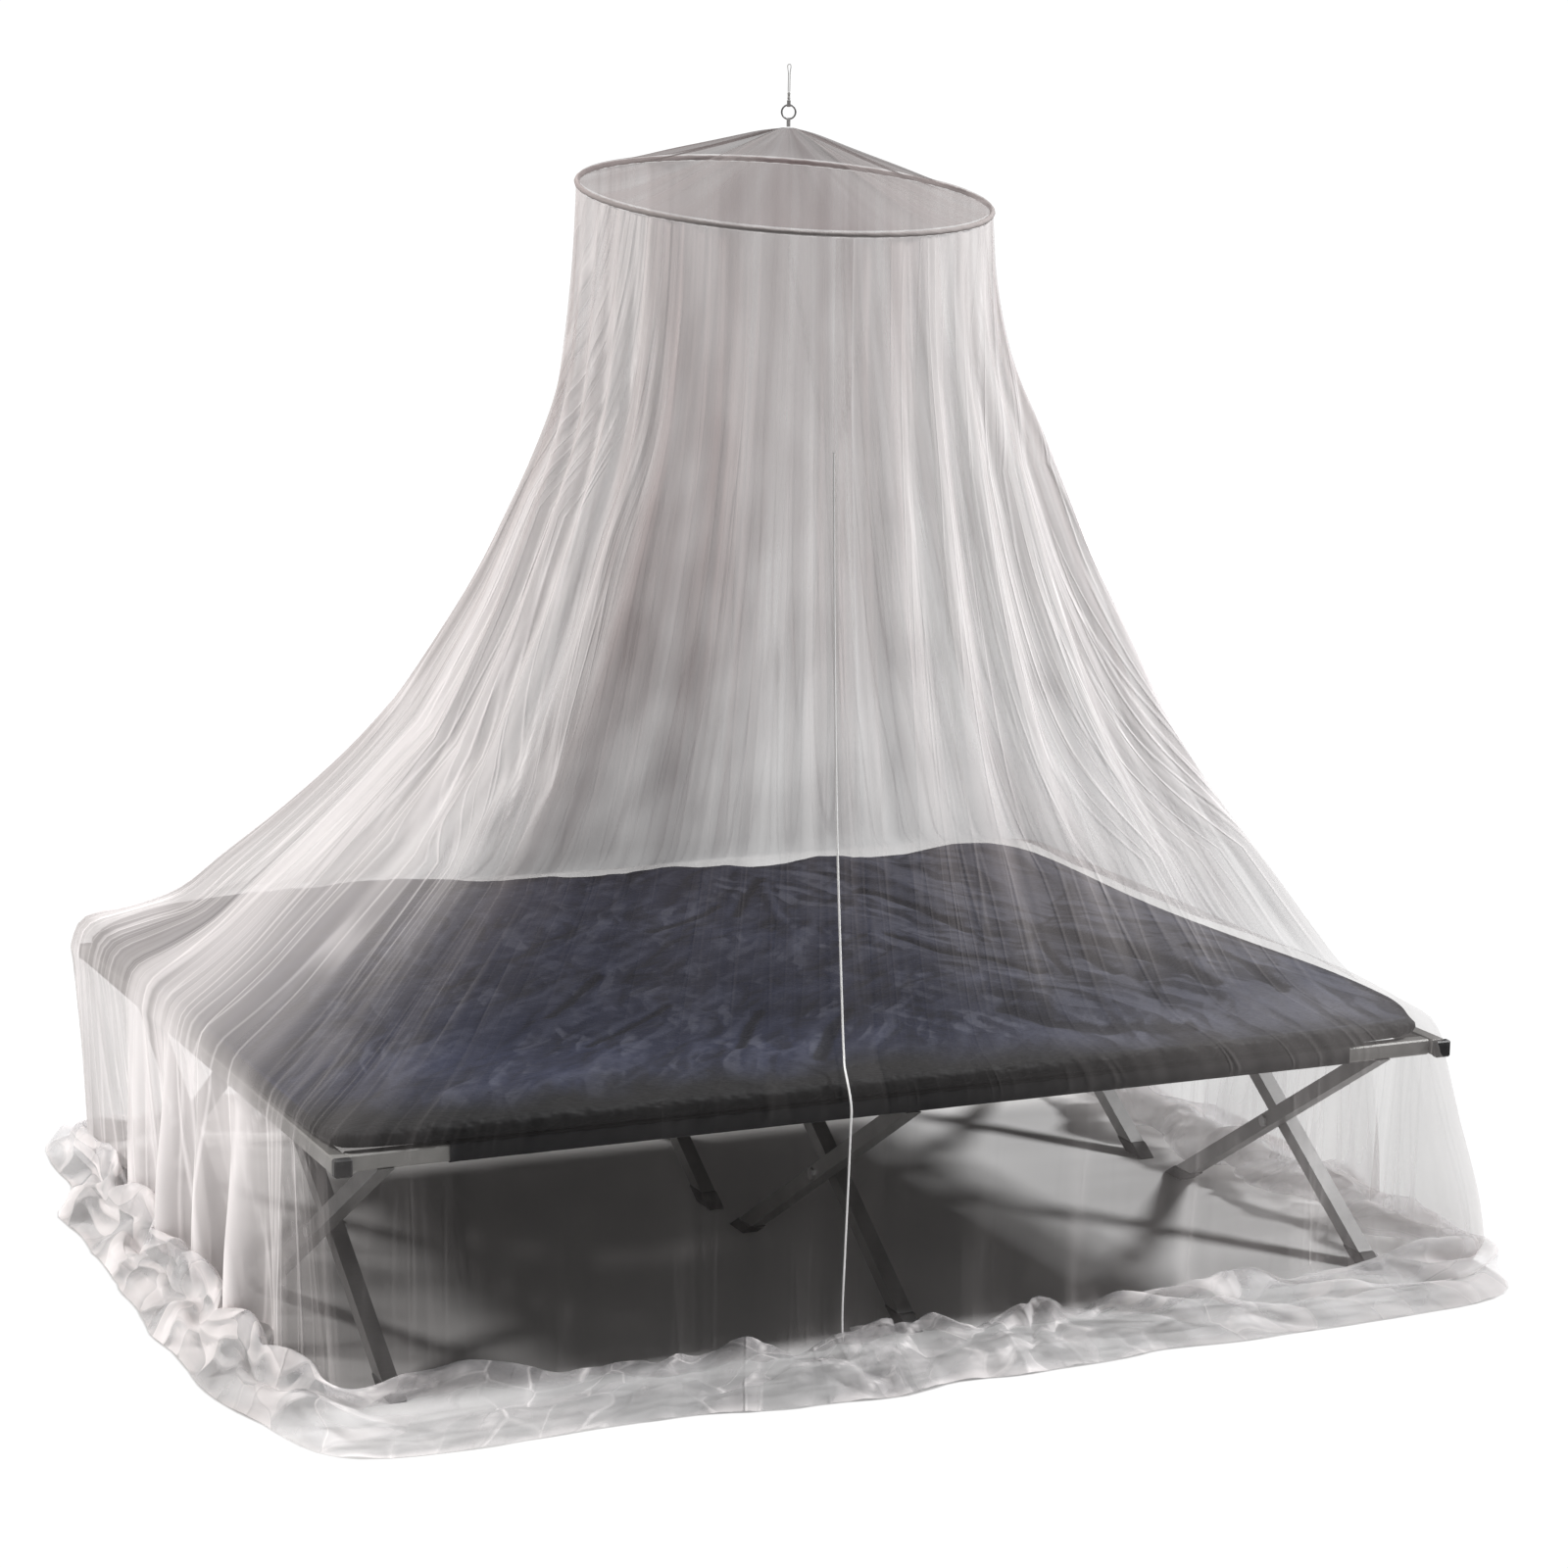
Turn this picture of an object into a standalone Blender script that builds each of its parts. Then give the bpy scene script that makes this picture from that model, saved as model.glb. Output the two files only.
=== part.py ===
"""Mosquito net canopy hung from one point over a double folding camp bed.

The net spreads from a crown and a hoop, is stretched over the edges of the bed, falls to the floor and
lies there in a heap. The origin is on the floor under the middle of the bed. +X runs along the bed,
+Z is up, and the entrance of the net faces -Y. All sizes are in metres.
"""
import math

import bmesh
import bpy
from mathutils import Matrix, Vector

# Bed frame: square aluminium tube, three pairs of crossed legs
BED_LENGTH = 1.90            # between the centres of the two end bars
BED_WIDTH = 1.40             # between the centres of the two side rails
RAIL_HEIGHT = 0.390          # centre of the rails above the floor
TUBE = 0.026                 # side of the square tube
TUBE_ROUNDING = 0.0025
END_BAR_LENGTH = 1.44        # without its caps
CAP_LENGTH = 0.015
LEG_STATIONS = (("left", -0.863), ("middle", 0.0), ("right", 0.863))
LEG_OUTER_TOP = 0.690        # distance of each leg end from the bed's long middle line
LEG_INNER_TOP = 0.080
LEG_INNER_FOOT = 0.070
LEG_OUTER_FOOT = 0.650
LEG_SIDE_STEP = 0.0155       # the two legs of a pair lie side by side
FOOT_HEIGHT = 0.022
FOOT_TUBE = 0.030
PIVOT_RADIUS = 0.005
PIVOT_HEAD_RADIUS = 0.010
PIVOT_HEAD = 0.004
GAP = 0.0003                 # between pieces that touch

# Bed cloth and mattress
SLING_LENGTH = 1.56
CLOTH_THICKNESS = 0.0018
MATTRESS_FLOOR = RAIL_HEIGHT + TUBE / 2 + CLOTH_THICKNESS + 2 * GAP
MATTRESS_LEFT = -0.955
MATTRESS_RIGHT = 0.940
MATTRESS_HALF_WIDTH = 0.712
MATTRESS_EDGE = 0.034        # height of the drawn-in edge over the cloth
MATTRESS_CROWN = 0.046
MATTRESS_CORNER = 0.022      # the corners are drawn in by this much
MATTRESS_GRID = (20, 14)
# Soft humps on the mattress: centre x, centre y, radius, height
MATTRESS_HUMPS = (
    (0.70, 0.64, 0.24, 0.017),
    (-0.70, 0.62, 0.30, 0.038),
    (-0.28, 0.66, 0.26, 0.018),
    (-0.84, -0.10, 0.30, 0.010),
    (0.26, 0.62, 0.24, 0.015),
    (0.62, -0.42, 0.26, 0.006),
    (-0.10, -0.45, 0.34, -0.008),
)

# Hoop, crown and hanging gear
HOOP_RADIUS = 0.343
HOOP_CENTRE = Vector((0.046, -0.040, 1.759))
HOOP_SLOPE = 0.141           # the near side hangs lower than the far side
HOOP_ROD = 0.0026             # radius of the rod
CASING_INNER = 0.0032
CASING_OUTER = 0.0043
CASING_MOUTH = math.radians(70)
HOOP_STEPS = 40
APEX = Vector((0.055, -0.030, 1.868))
ROOF_COLUMNS = 44
ROOF_LIFT = 0.0068            # middle of the crown's sheet over the middle of the rod at the hoop
# Crown sections from the point to the hoop: share of the way out, share of the fall, ridge depth
ROOF_SECTIONS = (
    (0.05, 0.02, 0.000),
    (0.16, 0.14, 0.003),
    (0.36, 0.38, 0.004),
    (0.60, 0.64, 0.004),
    (0.84, 0.89, 0.002),
    (1.00, 1.00, 0.000),
)
ROOF_RIDGES = 11
VIEW_TURN = math.radians(-24.6)  # the ring hangs turned by this much
RING_RADIUS = 0.0115
RING_WIRE = 0.0015
RING_CENTRE = Vector((0.055, -0.030, 1.8935))
LOOP_BAND = 0.0012
LOOP_WIDTH = 0.006
KNOT_RADIUS = 0.0027
KNOT_HEIGHT = 0.013
CORD_RADIUS = 0.001
CORD_TOP = 1.972
CORD_BIGHT = 0.0028          # half the width of the loop at the cord's top
CORD_SPREAD = 0.0014         # half the distance between the two strands below it
CORD_BIGHT_START = 0.70      # share of the height where the strands part

# Net
NET_THICKNESS = 0.002
NET_OVER_MATTRESS = 0.007    # at least this far above it where the net lies over it
NET_EDGE = (0.962, 0.726)    # half length and half width where it lies over the bed's edge
NET_SHOULDER = (0.981, 0.753)
NET_FOOT = (0.945, 0.718)
NET_HEM = (1.093, 0.903)
CORNER_SHARPNESS = 60
CORNER_STEP = math.radians(0.8)
HEM_SHARPNESS = 9
EDGE_HEIGHT = 0.452          # height of the net over the bed's edge
EDGE_HEIGHT_FAR = 0.010      # added at the far side and taken off at the near side
OVERLAP_START = math.radians(259)
OVERLAP = math.radians(5)
OVERLAP_LIFT = 0.0045
COLUMNS = (("right", 20), ("far", 22), ("left", 20), ("near", 28))
HEAP_SIDE = 0.050            # height of the heap on the floor along the sides and at the ends
HEAP_END = 0.078
# Sections from the hoop to the bed's edge: share of the fall, flare on the left and on the right, folds
TENT_SECTIONS = (
    (0.000, 0.000, 0.000, 0.10),
    (0.090, 0.002, 0.010, 0.35),
    (0.180, 0.010, 0.043, 0.65),
    (0.265, 0.026, 0.104, 0.90),
    (0.345, 0.068, 0.160, 1.00),
    (0.425, 0.124, 0.215, 1.00),
    (0.510, 0.188, 0.284, 1.00),
    (0.595, 0.268, 0.354, 0.95),
    (0.675, 0.350, 0.430, 0.90),
    (0.755, 0.450, 0.520, 0.80),
    (0.835, 0.576, 0.622, 0.65),
    (0.905, 0.704, 0.706, 0.50),
    (0.958, 0.800, 0.780, 0.35),
    (0.992, 0.905, 0.860, 0.20),
    (1.000, 1.000, 1.000, 0.10),
)
# Sections of the fall beside the bed: share of the way from the shoulder to the foot, height, folds
FALL_SECTIONS = (
    (0.00, 0.409, 0.10),
    (0.06, 0.372, 0.30),
    (0.35, 0.265, 1.20),
    (0.70, 0.150, 2.20),
    (0.90, 0.062, 2.60),
)
# Where the foot of the fall stands further out: direction in degrees, half width in degrees, distance
FOOT_REACH = (
    (322, 11, 0.062), (337, 10, 0.034), (304, 9, 0.014), (204, 12, 0.020), (246, 10, 0.012),
)
# Sections of the heap: share of the way to the hem, share of the heap's height, share of crumple
HEAP_SECTIONS = (
    (0.08, 0.35, 0.25),
    (0.30, 1.00, 0.70),
    (0.52, 0.55, 0.75),
    (0.77, 0.40, 0.60),
    (1.00, 0.00, 0.00),
)
HEM_LIFT = 0.001
# Where the hem lies further out or in: direction in degrees, half width in degrees, distance
HEM_REACH = (
    (58, 22, 0.0155), (88, 18, -0.005), (112, 20, 0.0115), (134, 11, 0.0492), (149, 12, -0.080), (168, 10, -0.020),
    (196, 12, 0.014), (214, 7, -0.022), (222, 6, 0.016), (240, 9, -0.016), (257, 14, 0.028),
    (276, 10, 0.012), (316, 7, 0.010), (329, 9, -0.014), (345, 12, 0.0105), (20, 16, -0.020),
)
# Main folds: direction in degrees from +X, half width in degrees, depth
MAIN_FOLDS = (
    (6, 7, 0.012), (20, 6, 0.016), (36, 7, 0.020), (50, 7, 0.012), (68, 7, 0.015), (84, 6, 0.011),
    (101, 7, 0.014), (118, 6, 0.012), (134, 6, 0.010), (147, 6, 0.012), (163, 6, 0.018),
    (176, 5, 0.024), (187, 5, 0.022), (198, 5, 0.024), (209, 5, 0.016), (219, 6, 0.018),
    (238, 7, 0.008), (252, 6, 0.007), (274, 6, 0.012), (287, 5, 0.016), (299, 5, 0.018),
    (311, 5, 0.019), (323, 5, 0.024), (336, 5, 0.018), (350, 6, 0.014),
)
BINDING_WIDTH = 0.005
BINDING_THICKNESS = 0.0012
BINDING_START = 0.25         # share of the fall from the hoop where the bound edge starts
BINDING_CLEARANCE = 0.0038   # middle of the binding off the middle of the net

COLLECTION = "mosquito_net_canopy"


def clear_scene():
    """Start from an empty file."""
    for item in list(bpy.data.objects):
        bpy.data.objects.remove(item)


def collection(name):
    """Add a collection to the scene."""
    made = bpy.data.collections.new(name)
    bpy.context.scene.collection.children.link(made)
    return made


def material(name, colour, roughness, metallic=0.0, alpha=1.0):
    """One plain material for each finish."""
    made = bpy.data.materials.new(name)
    made.use_nodes = True
    shader = made.node_tree.nodes["Principled BSDF"]
    shader.inputs["Base Color"].default_value = (*colour, 1.0)
    shader.inputs["Roughness"].default_value = roughness
    shader.inputs["Metallic"].default_value = metallic
    shader.inputs["Alpha"].default_value = alpha
    return made


def add_object(name, data, finish, group):
    """Link a mesh or curve as a named piece."""
    made = bpy.data.objects.new(name, data)
    made.data.materials.append(finish)
    group.objects.link(made)
    return made


def mesh_from(shape, name):
    """Turn an edit mesh into a mesh."""
    mesh = bpy.data.meshes.new(name)
    shape.to_mesh(mesh)
    shape.free()
    return mesh


def round_edges(piece, width, segments=1):
    """Soften the sharp edges of a piece."""
    bevel = piece.modifiers.new("rounding", "BEVEL")
    bevel.width = width
    bevel.segments = segments
    bevel.limit_method = "ANGLE"


def tube(name, size, centre, finish, group):
    """A straight square tube or cap as a solid bar."""
    shape = bmesh.new()
    bmesh.ops.create_cube(shape, size=1.0, matrix=Matrix.Diagonal((*size, 1.0)))
    piece = add_object(name, mesh_from(shape, name), finish, group)
    piece.location = centre
    round_edges(piece, TUBE_ROUNDING)
    return piece


def turned(name, profile, steps, finish, group):
    """A piece turned about its own Z axis from a profile of radius and height, top to bottom."""
    shape = bmesh.new()
    corners = [shape.verts.new((radius, 0.0, height)) for radius, height in profile]
    for start, end in zip(corners, corners[1:]):
        shape.edges.new((start, end))
    piece = add_object(name, mesh_from(shape, name), finish, group)
    screw = piece.modifiers.new("turning", "SCREW")
    screw.steps = steps
    screw.render_steps = steps
    screw.use_merge_vertices = True
    screw.merge_threshold = 0.00005
    return piece


def slanted_bar(name, side, line, span, x, finish, group):
    """A square tube that runs along a slanted line in the YZ plane, cut level at both ends.

    line is (y at the floor, change of y with height) and span is (lowest, highest) height."""
    foot_y, slope = line
    low, high = span
    level_cut = side * math.sqrt(1.0 + slope * slope)
    shape = bmesh.new()
    bmesh.ops.create_cube(shape, size=1.0, matrix=Matrix.Diagonal((side, level_cut, high - low, 1.0)))
    shear = Matrix.Identity(4)
    shear[1][2] = slope
    bmesh.ops.transform(shape, matrix=shear, verts=shape.verts)
    piece = add_object(name, mesh_from(shape, name), finish, group)
    middle = (low + high) / 2
    piece.location = (x, foot_y + slope * middle, middle)
    return piece


def make_rails(aluminium, plastic, group):
    """Side and middle rails, with an end bar across each end and a cap on each tip."""
    rail_length = BED_LENGTH - TUBE - 2 * GAP
    rails = (
        ("side_rail_near", -BED_WIDTH / 2),
        ("middle_rail_near", -LEG_INNER_TOP),
        ("middle_rail_far", LEG_INNER_TOP),
        ("side_rail_far", BED_WIDTH / 2),
    )
    for name, y in rails:
        tube(name, (rail_length, TUBE, TUBE), (0.0, y, RAIL_HEIGHT), aluminium, group)
    for side, x in (("left", -BED_LENGTH / 2), ("right", BED_LENGTH / 2)):
        tube(f"end_bar_{side}", (TUBE, END_BAR_LENGTH, TUBE), (x, 0.0, RAIL_HEIGHT), aluminium, group)
        for way, sign in (("near", -1), ("far", 1)):
            y = sign * (END_BAR_LENGTH / 2 + GAP + CAP_LENGTH / 2)
            tube(f"end_cap_{side}_{way}", (TUBE + 0.002, CAP_LENGTH, TUBE + 0.002), (x, y, RAIL_HEIGHT),
                 plastic, group)


def crossing(first, second):
    """Height and y where two slanted lines cross."""
    height = (second[0] - first[0]) / (first[1] - second[1])
    return first[0] + first[1] * height, height


def make_legs(aluminium, rubber, steel, group, cutters):
    """Three stations of two crossed pairs of legs, each leg with a rubber foot, each pair on a pivot."""
    under_rail = RAIL_HEIGHT - TUBE / 2 - GAP
    under_sleeve = under_rail - CLOTH_THICKNESS - GAP
    for station, x in LEG_STATIONS:
        for way, sign in (("near", -1), ("far", 1)):
            outer_top = under_sleeve if abs(x) < SLING_LENGTH / 2 else under_rail
            outer = (sign * LEG_INNER_FOOT, sign * (LEG_OUTER_TOP - LEG_INNER_FOOT) / outer_top)
            inner = (sign * LEG_OUTER_FOOT, sign * (LEG_INNER_TOP - LEG_OUTER_FOOT) / under_rail)
            pivot_y, pivot_z = crossing(outer, inner)
            cutter = turned(f"cut_pivot_{station}_{way}",
                            ((0.0, 0.05), (PIVOT_RADIUS + GAP, 0.05), (PIVOT_RADIUS + GAP, -0.05), (0.0, -0.05)),
                            8, steel, cutters)
            cutter.location = (x, pivot_y, pivot_z)
            cutter.rotation_euler = (0.0, math.pi / 2, 0.0)
            cutter.hide_render = True
            cutter.display_type = "WIRE"
            for role, line, top, shift in (("outer", outer, outer_top, -LEG_SIDE_STEP),
                                           ("inner", inner, under_rail, LEG_SIDE_STEP)):
                label = f"{station}_{way}_{role}"
                leg = slanted_bar(f"leg_{label}", TUBE, line, (FOOT_HEIGHT + GAP, top), x + shift,
                                  aluminium, group)
                hole = leg.modifiers.new("pivot hole", "BOOLEAN")
                hole.operation = "DIFFERENCE"
                hole.object = cutter
                foot = slanted_bar(f"foot_{label}", FOOT_TUBE, line, (0.0, FOOT_HEIGHT), x + shift,
                                   rubber, group)
                round_edges(foot, 0.002)
            reach = LEG_SIDE_STEP + TUBE / 2 + GAP
            bolt = turned(f"pivot_{station}_{way}",
                          ((0.0, reach + PIVOT_HEAD), (PIVOT_HEAD_RADIUS, reach + PIVOT_HEAD),
                           (PIVOT_HEAD_RADIUS, reach), (PIVOT_RADIUS, reach), (PIVOT_RADIUS, -reach),
                           (PIVOT_HEAD_RADIUS, -reach), (PIVOT_HEAD_RADIUS, -reach - PIVOT_HEAD),
                           (0.0, -reach - PIVOT_HEAD)), 8, steel, group)
            bolt.location = (x, pivot_y, pivot_z)
            bolt.rotation_euler = (0.0, math.pi / 2, 0.0)


def outline_curve(name, outlines, depth):
    """A flat outline with its holes, extruded by depth."""
    curve = bpy.data.curves.new(name, "CURVE")
    curve.dimensions = "2D"
    curve.fill_mode = "BOTH"
    curve.extrude = depth / 2
    for outline in outlines:
        line = curve.splines.new("POLY")
        line.points.add(len(outline) - 1)
        for point, place in zip(line.points, outline):
            point.co = (*place, 0.0, 1.0)
        line.use_cyclic_u = True
    return curve


def make_sling(cloth, group):
    """The bed's cloth: one sheet with a square sleeve along each side rail."""
    rail = BED_WIDTH / 2
    inside = TUBE / 2 + GAP
    outside = inside + CLOTH_THICKNESS
    outer = [(-rail - outside, -outside), (-rail + outside, -outside), (-rail + outside, inside),
             (rail - outside, inside), (rail - outside, -outside), (rail + outside, -outside),
             (rail + outside, outside), (-rail - outside, outside)]
    sleeves = [[(centre - inside, -inside), (centre + inside, -inside), (centre + inside, inside),
                (centre - inside, inside)] for centre in (-rail, rail)]
    sling = add_object("sling_cloth", outline_curve("sling_cloth", [outer] + sleeves, SLING_LENGTH), cloth, group)
    sling.matrix_world = Matrix(((0, 0, 1, 0), (1, 0, 0, 0), (0, 1, 0, RAIL_HEIGHT), (0, 0, 0, 1)))
    return sling


def mattress_height(x, y):
    """Height of the mattress over the bed's cloth at a place on it."""
    middle = (MATTRESS_LEFT + MATTRESS_RIGHT) / 2
    along = min(1.0, max(-1.0, (x - middle) / ((MATTRESS_RIGHT - MATTRESS_LEFT) / 2)))
    across = min(1.0, max(-1.0, y / MATTRESS_HALF_WIDTH))
    crown = (1 - abs(along) ** 12) * (1 - abs(across) ** 12)
    height = MATTRESS_EDGE + MATTRESS_CROWN * crown * (0.85 + 0.15 * across)
    for hump_x, hump_y, radius, lift in MATTRESS_HUMPS:
        away = math.hypot(x - hump_x, y - hump_y) / radius
        height += lift * math.exp(-away * away) * (0.3 + 0.7 * crown)
    return height


def make_mattress(cloth, group):
    """A filled mat with a low crown, drawn-in edges and soft humps."""
    shape = bmesh.new()
    steps_x, steps_y = MATTRESS_GRID
    bmesh.ops.create_grid(shape, x_segments=steps_x, y_segments=steps_y, size=1.0)
    middle = (MATTRESS_LEFT + MATTRESS_RIGHT) / 2
    half = (MATTRESS_RIGHT - MATTRESS_LEFT) / 2
    rim = [edge for edge in shape.edges if edge.is_boundary]
    for vert in shape.verts:
        x = middle + half * math.copysign(1 - (1 - abs(vert.co.x)) ** 1.25, vert.co.x) * 0.985
        y = MATTRESS_HALF_WIDTH * math.copysign(1 - (1 - abs(vert.co.y)) ** 1.25, vert.co.y) * 0.982
        drawn_in = MATTRESS_CORNER * abs(vert.co.x * vert.co.y) ** 9
        x -= math.copysign(drawn_in, vert.co.x)
        y -= math.copysign(drawn_in, vert.co.y)
        vert.co = (x, y, MATTRESS_FLOOR + mattress_height(x, y))
    # the side bulges out under the top's rim and draws in again at the underside
    for out, height in ((1.017, 0.60), (1.012, 0.25), (0.990, 0.0)):
        grown = bmesh.ops.extrude_edge_only(shape, edges=rim)["geom"]
        rim = [item for item in grown if isinstance(item, bmesh.types.BMEdge)]
        for vert in (item for item in grown if isinstance(item, bmesh.types.BMVert)):
            share = out / (1.0 if out == 1.017 else previous)
            vert.co.x = middle + (vert.co.x - middle) * share
            vert.co.y *= share
            vert.co.z = MATTRESS_FLOOR + MATTRESS_EDGE * height
        previous = out
    bmesh.ops.edgeloop_fill(shape, edges=rim)
    bmesh.ops.recalc_face_normals(shape, faces=shape.faces)
    piece = add_object("mattress", mesh_from(shape, "mattress"), cloth, group)
    piece.data.shade_smooth()
    return piece


def outward(direction):
    """The level direction away from the upright middle line."""
    return Vector((math.cos(direction), math.sin(direction), 0.0))


def hoop_point(direction, radius=HOOP_RADIUS, lift=0.0):
    """A point on the tilted hoop."""
    out = outward(direction) * radius
    out.z = out.y * HOOP_SLOPE + lift
    return HOOP_CENTRE + out


def ring_section(count, centre_at, section_at):
    """Rows of points of a closed ring: a section placed at each of count directions."""
    rows = []
    for step in range(count):
        direction = 2 * math.pi * step / count
        centre = centre_at(direction)
        rows.append([centre + offset for offset in section_at(direction)])
    return rows


def skin(rows, name, closed_rows, closed_columns):
    """A surface through rows of points, closed or open in each direction."""
    shape = bmesh.new()
    grid = [[shape.verts.new(point) for point in row] for row in rows]
    last_row = len(grid) if closed_rows else len(grid) - 1
    count = len(grid[0])
    last_column = count if closed_columns else count - 1
    for row in range(last_row):
        low = grid[row]
        high = grid[(row + 1) % len(grid)]
        for column in range(last_column):
            after = (column + 1) % count
            shape.faces.new((low[column], low[after], high[after], high[column]))
    return shape


def make_hoop(rod_finish, net, group):
    """The sprung rod, and the casing of net round it, open where the body of the net is sewn in."""
    def rod_section(direction):
        out = outward(direction)
        turns = [2 * math.pi * side / 8 for side in range(8)]
        return [out * (HOOP_ROD * math.cos(turn)) + Vector((0, 0, HOOP_ROD * math.sin(turn))) for turn in turns]

    def casing_section(direction):
        out = outward(direction)
        low = -math.pi / 2 + CASING_MOUTH / 2
        sweep = 2 * math.pi - CASING_MOUTH
        turns = [low + sweep * side / 7 for side in range(8)]
        places = [(CASING_OUTER, turn) for turn in turns] + [(CASING_INNER, turn) for turn in reversed(turns)]
        return [out * (radius * math.cos(turn)) + Vector((0, 0, radius * math.sin(turn)))
                for radius, turn in places]

    for name, section, finish in (("hoop_rod", rod_section, rod_finish), ("hoop_casing", casing_section, net)):
        shape = skin(ring_section(HOOP_STEPS, hoop_point, section), name, True, True)
        bmesh.ops.recalc_face_normals(shape, faces=shape.faces)
        piece = add_object(name, mesh_from(shape, name), finish, group)
        piece.data.shade_smooth()


def thicken(piece, thickness):
    """Give an open sheet its thickness, half on each side."""
    solidify = piece.modifiers.new("thickness", "SOLIDIFY")
    solidify.thickness = thickness
    solidify.offset = 0.0
    solidify.use_even_offset = False


def make_roof(net, group):
    """The crown: a shallow cone with soft ridges from the hanging point to the hoop."""
    shape = bmesh.new()
    point = shape.verts.new(APEX)
    rings = []
    for out, fall, ridge in ROOF_SECTIONS:
        ring = []
        for step in range(ROOF_COLUMNS):
            direction = 2 * math.pi * step / ROOF_COLUMNS
            rim = hoop_point(direction, HOOP_RADIUS - 0.001, ROOF_LIFT)
            place = APEX.lerp(rim, out)
            place.z = APEX.z + (rim.z - APEX.z) * fall + ridge * math.cos(ROOF_RIDGES * direction)
            ring.append(shape.verts.new(place))
        rings.append(ring)
    for step in range(ROOF_COLUMNS):
        after = (step + 1) % ROOF_COLUMNS
        shape.faces.new((point, rings[0][step], rings[0][after]))
        for inner, outer in zip(rings, rings[1:]):
            shape.faces.new((inner[step], outer[step], outer[after], inner[after]))
    bmesh.ops.recalc_face_normals(shape, faces=shape.faces)
    piece = add_object("net_roof", mesh_from(shape, "net_roof"), net, group)
    thicken(piece, NET_THICKNESS)
    piece.data.shade_smooth()


def make_wire_loop(name, wire, reach, finish, group):
    """A flat band looped round the ring's wire and reaching up or down from it by reach."""
    way = math.copysign(1.0, reach)
    inner = RING_WIRE + 2 * GAP
    outlines = []
    for radius, end in ((inner + LOOP_BAND, abs(reach)), (inner, abs(reach) - LOOP_BAND)):
        arc = [math.pi * step / 8 for step in range(9)]
        outline = [(radius * math.cos(turn), -way * radius * math.sin(turn)) for turn in arc]
        outline += [(-radius * 0.7, way * end), (radius * 0.7, way * end)]
        outlines.append(outline)
    loop = add_object(name, outline_curve(name, outlines, LOOP_WIDTH), finish, group)
    across = Vector((math.cos(VIEW_TURN), math.sin(VIEW_TURN), 0.0))
    away = Vector((-math.sin(VIEW_TURN), math.cos(VIEW_TURN), 0.0))
    loop.matrix_world = Matrix(((away.x, 0, across.x, wire.x), (away.y, 0, across.y, wire.y),
                                (away.z, 1, across.z, wire.z), (0, 0, 0, 1)))
    return loop


def make_hanging_gear(steel, tape, cord_finish, group):
    """Tab, ring, and the short cord with its loop for the ceiling hook."""
    shape = bmesh.new()
    bpy.ops.mesh.primitive_torus_add(major_radius=RING_RADIUS, minor_radius=RING_WIRE, major_segments=20,
                                     minor_segments=8, rotation=(math.pi / 2, 0.0, VIEW_TURN),
                                     location=RING_CENTRE)
    shape.free()
    ring = bpy.context.object
    ring.name = "hang_ring"
    ring.data.materials.append(steel)
    for holder in list(ring.users_collection):
        holder.objects.unlink(ring)
    group.objects.link(ring)
    ring.data.shade_smooth()

    low_wire = RING_CENTRE - Vector((0, 0, RING_RADIUS))
    high_wire = RING_CENTRE + Vector((0, 0, RING_RADIUS))
    make_wire_loop("apex_loop", low_wire, -(low_wire.z - APEX.z - NET_THICKNESS / 2 - 2 * GAP), tape, group)
    eye_reach = 0.0075
    make_wire_loop("cord_eye", high_wire, eye_reach, cord_finish, group)

    knot_low = high_wire.z + eye_reach + GAP
    knot_high = knot_low + KNOT_HEIGHT
    waist = KNOT_RADIUS * 0.8
    knot = turned("cord_knot", ((0.0, KNOT_HEIGHT), (waist, KNOT_HEIGHT), (KNOT_RADIUS, KNOT_HEIGHT * 0.8),
                                (waist, KNOT_HEIGHT * 0.55), (KNOT_RADIUS, KNOT_HEIGHT * 0.3), (waist, 0.0),
                                (0.0, 0.0)), 12, cord_finish, group)
    knot.location = (high_wire.x, high_wire.y, knot_low)

    curve = bpy.data.curves.new("hanging_cord", "CURVE")
    curve.dimensions = "3D"
    curve.bevel_depth = CORD_RADIUS
    curve.bevel_resolution = 2
    curve.use_fill_caps = True
    route = cord_route(Vector((high_wire.x, high_wire.y, knot_high + GAP)))
    line = curve.splines.new("POLY")
    line.points.add(len(route) - 1)
    for point, place in zip(line.points, route):
        point.co = (*place, 1.0)
    add_object("hanging_cord", curve, cord_finish, group)


def cord_route(start):
    """Up one strand, round the loop at the top and down the other strand."""
    across = Vector((math.cos(VIEW_TURN), math.sin(VIEW_TURN), 0.0))
    rise = CORD_TOP - start.z - CORD_RADIUS - CORD_BIGHT
    steps = 10
    strand = []
    for step in range(steps + 1):
        share = step / steps
        part = max(0.0, (share - CORD_BIGHT_START) / (1 - CORD_BIGHT_START))
        ease = part * part * (3 - 2 * part)
        width = CORD_SPREAD + (CORD_BIGHT - CORD_SPREAD) * ease
        strand.append((width, share * rise))
    arc = [math.pi * step / 8 for step in range(1, 8)]
    bight = [(CORD_BIGHT * math.cos(turn), rise + CORD_BIGHT * math.sin(turn)) for turn in arc]
    route = [(-width, height) for width, height in strand]
    route += [(-width, height) for width, height in bight]
    route += list(reversed(strand))
    return [start + across * offset + Vector((0, 0, height)) for offset, height in route]


def outline_at(direction, half, sharpness):
    """The point of a soft-cornered rectangle that lies in a direction from its middle."""
    share_x = abs(math.cos(direction)) / half[0]
    share_y = abs(math.sin(direction)) / half[1]
    away = (share_x ** sharpness + share_y ** sharpness) ** (-1.0 / sharpness)
    return Vector((math.cos(direction) * away, math.sin(direction) * away, 0.0))


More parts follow.
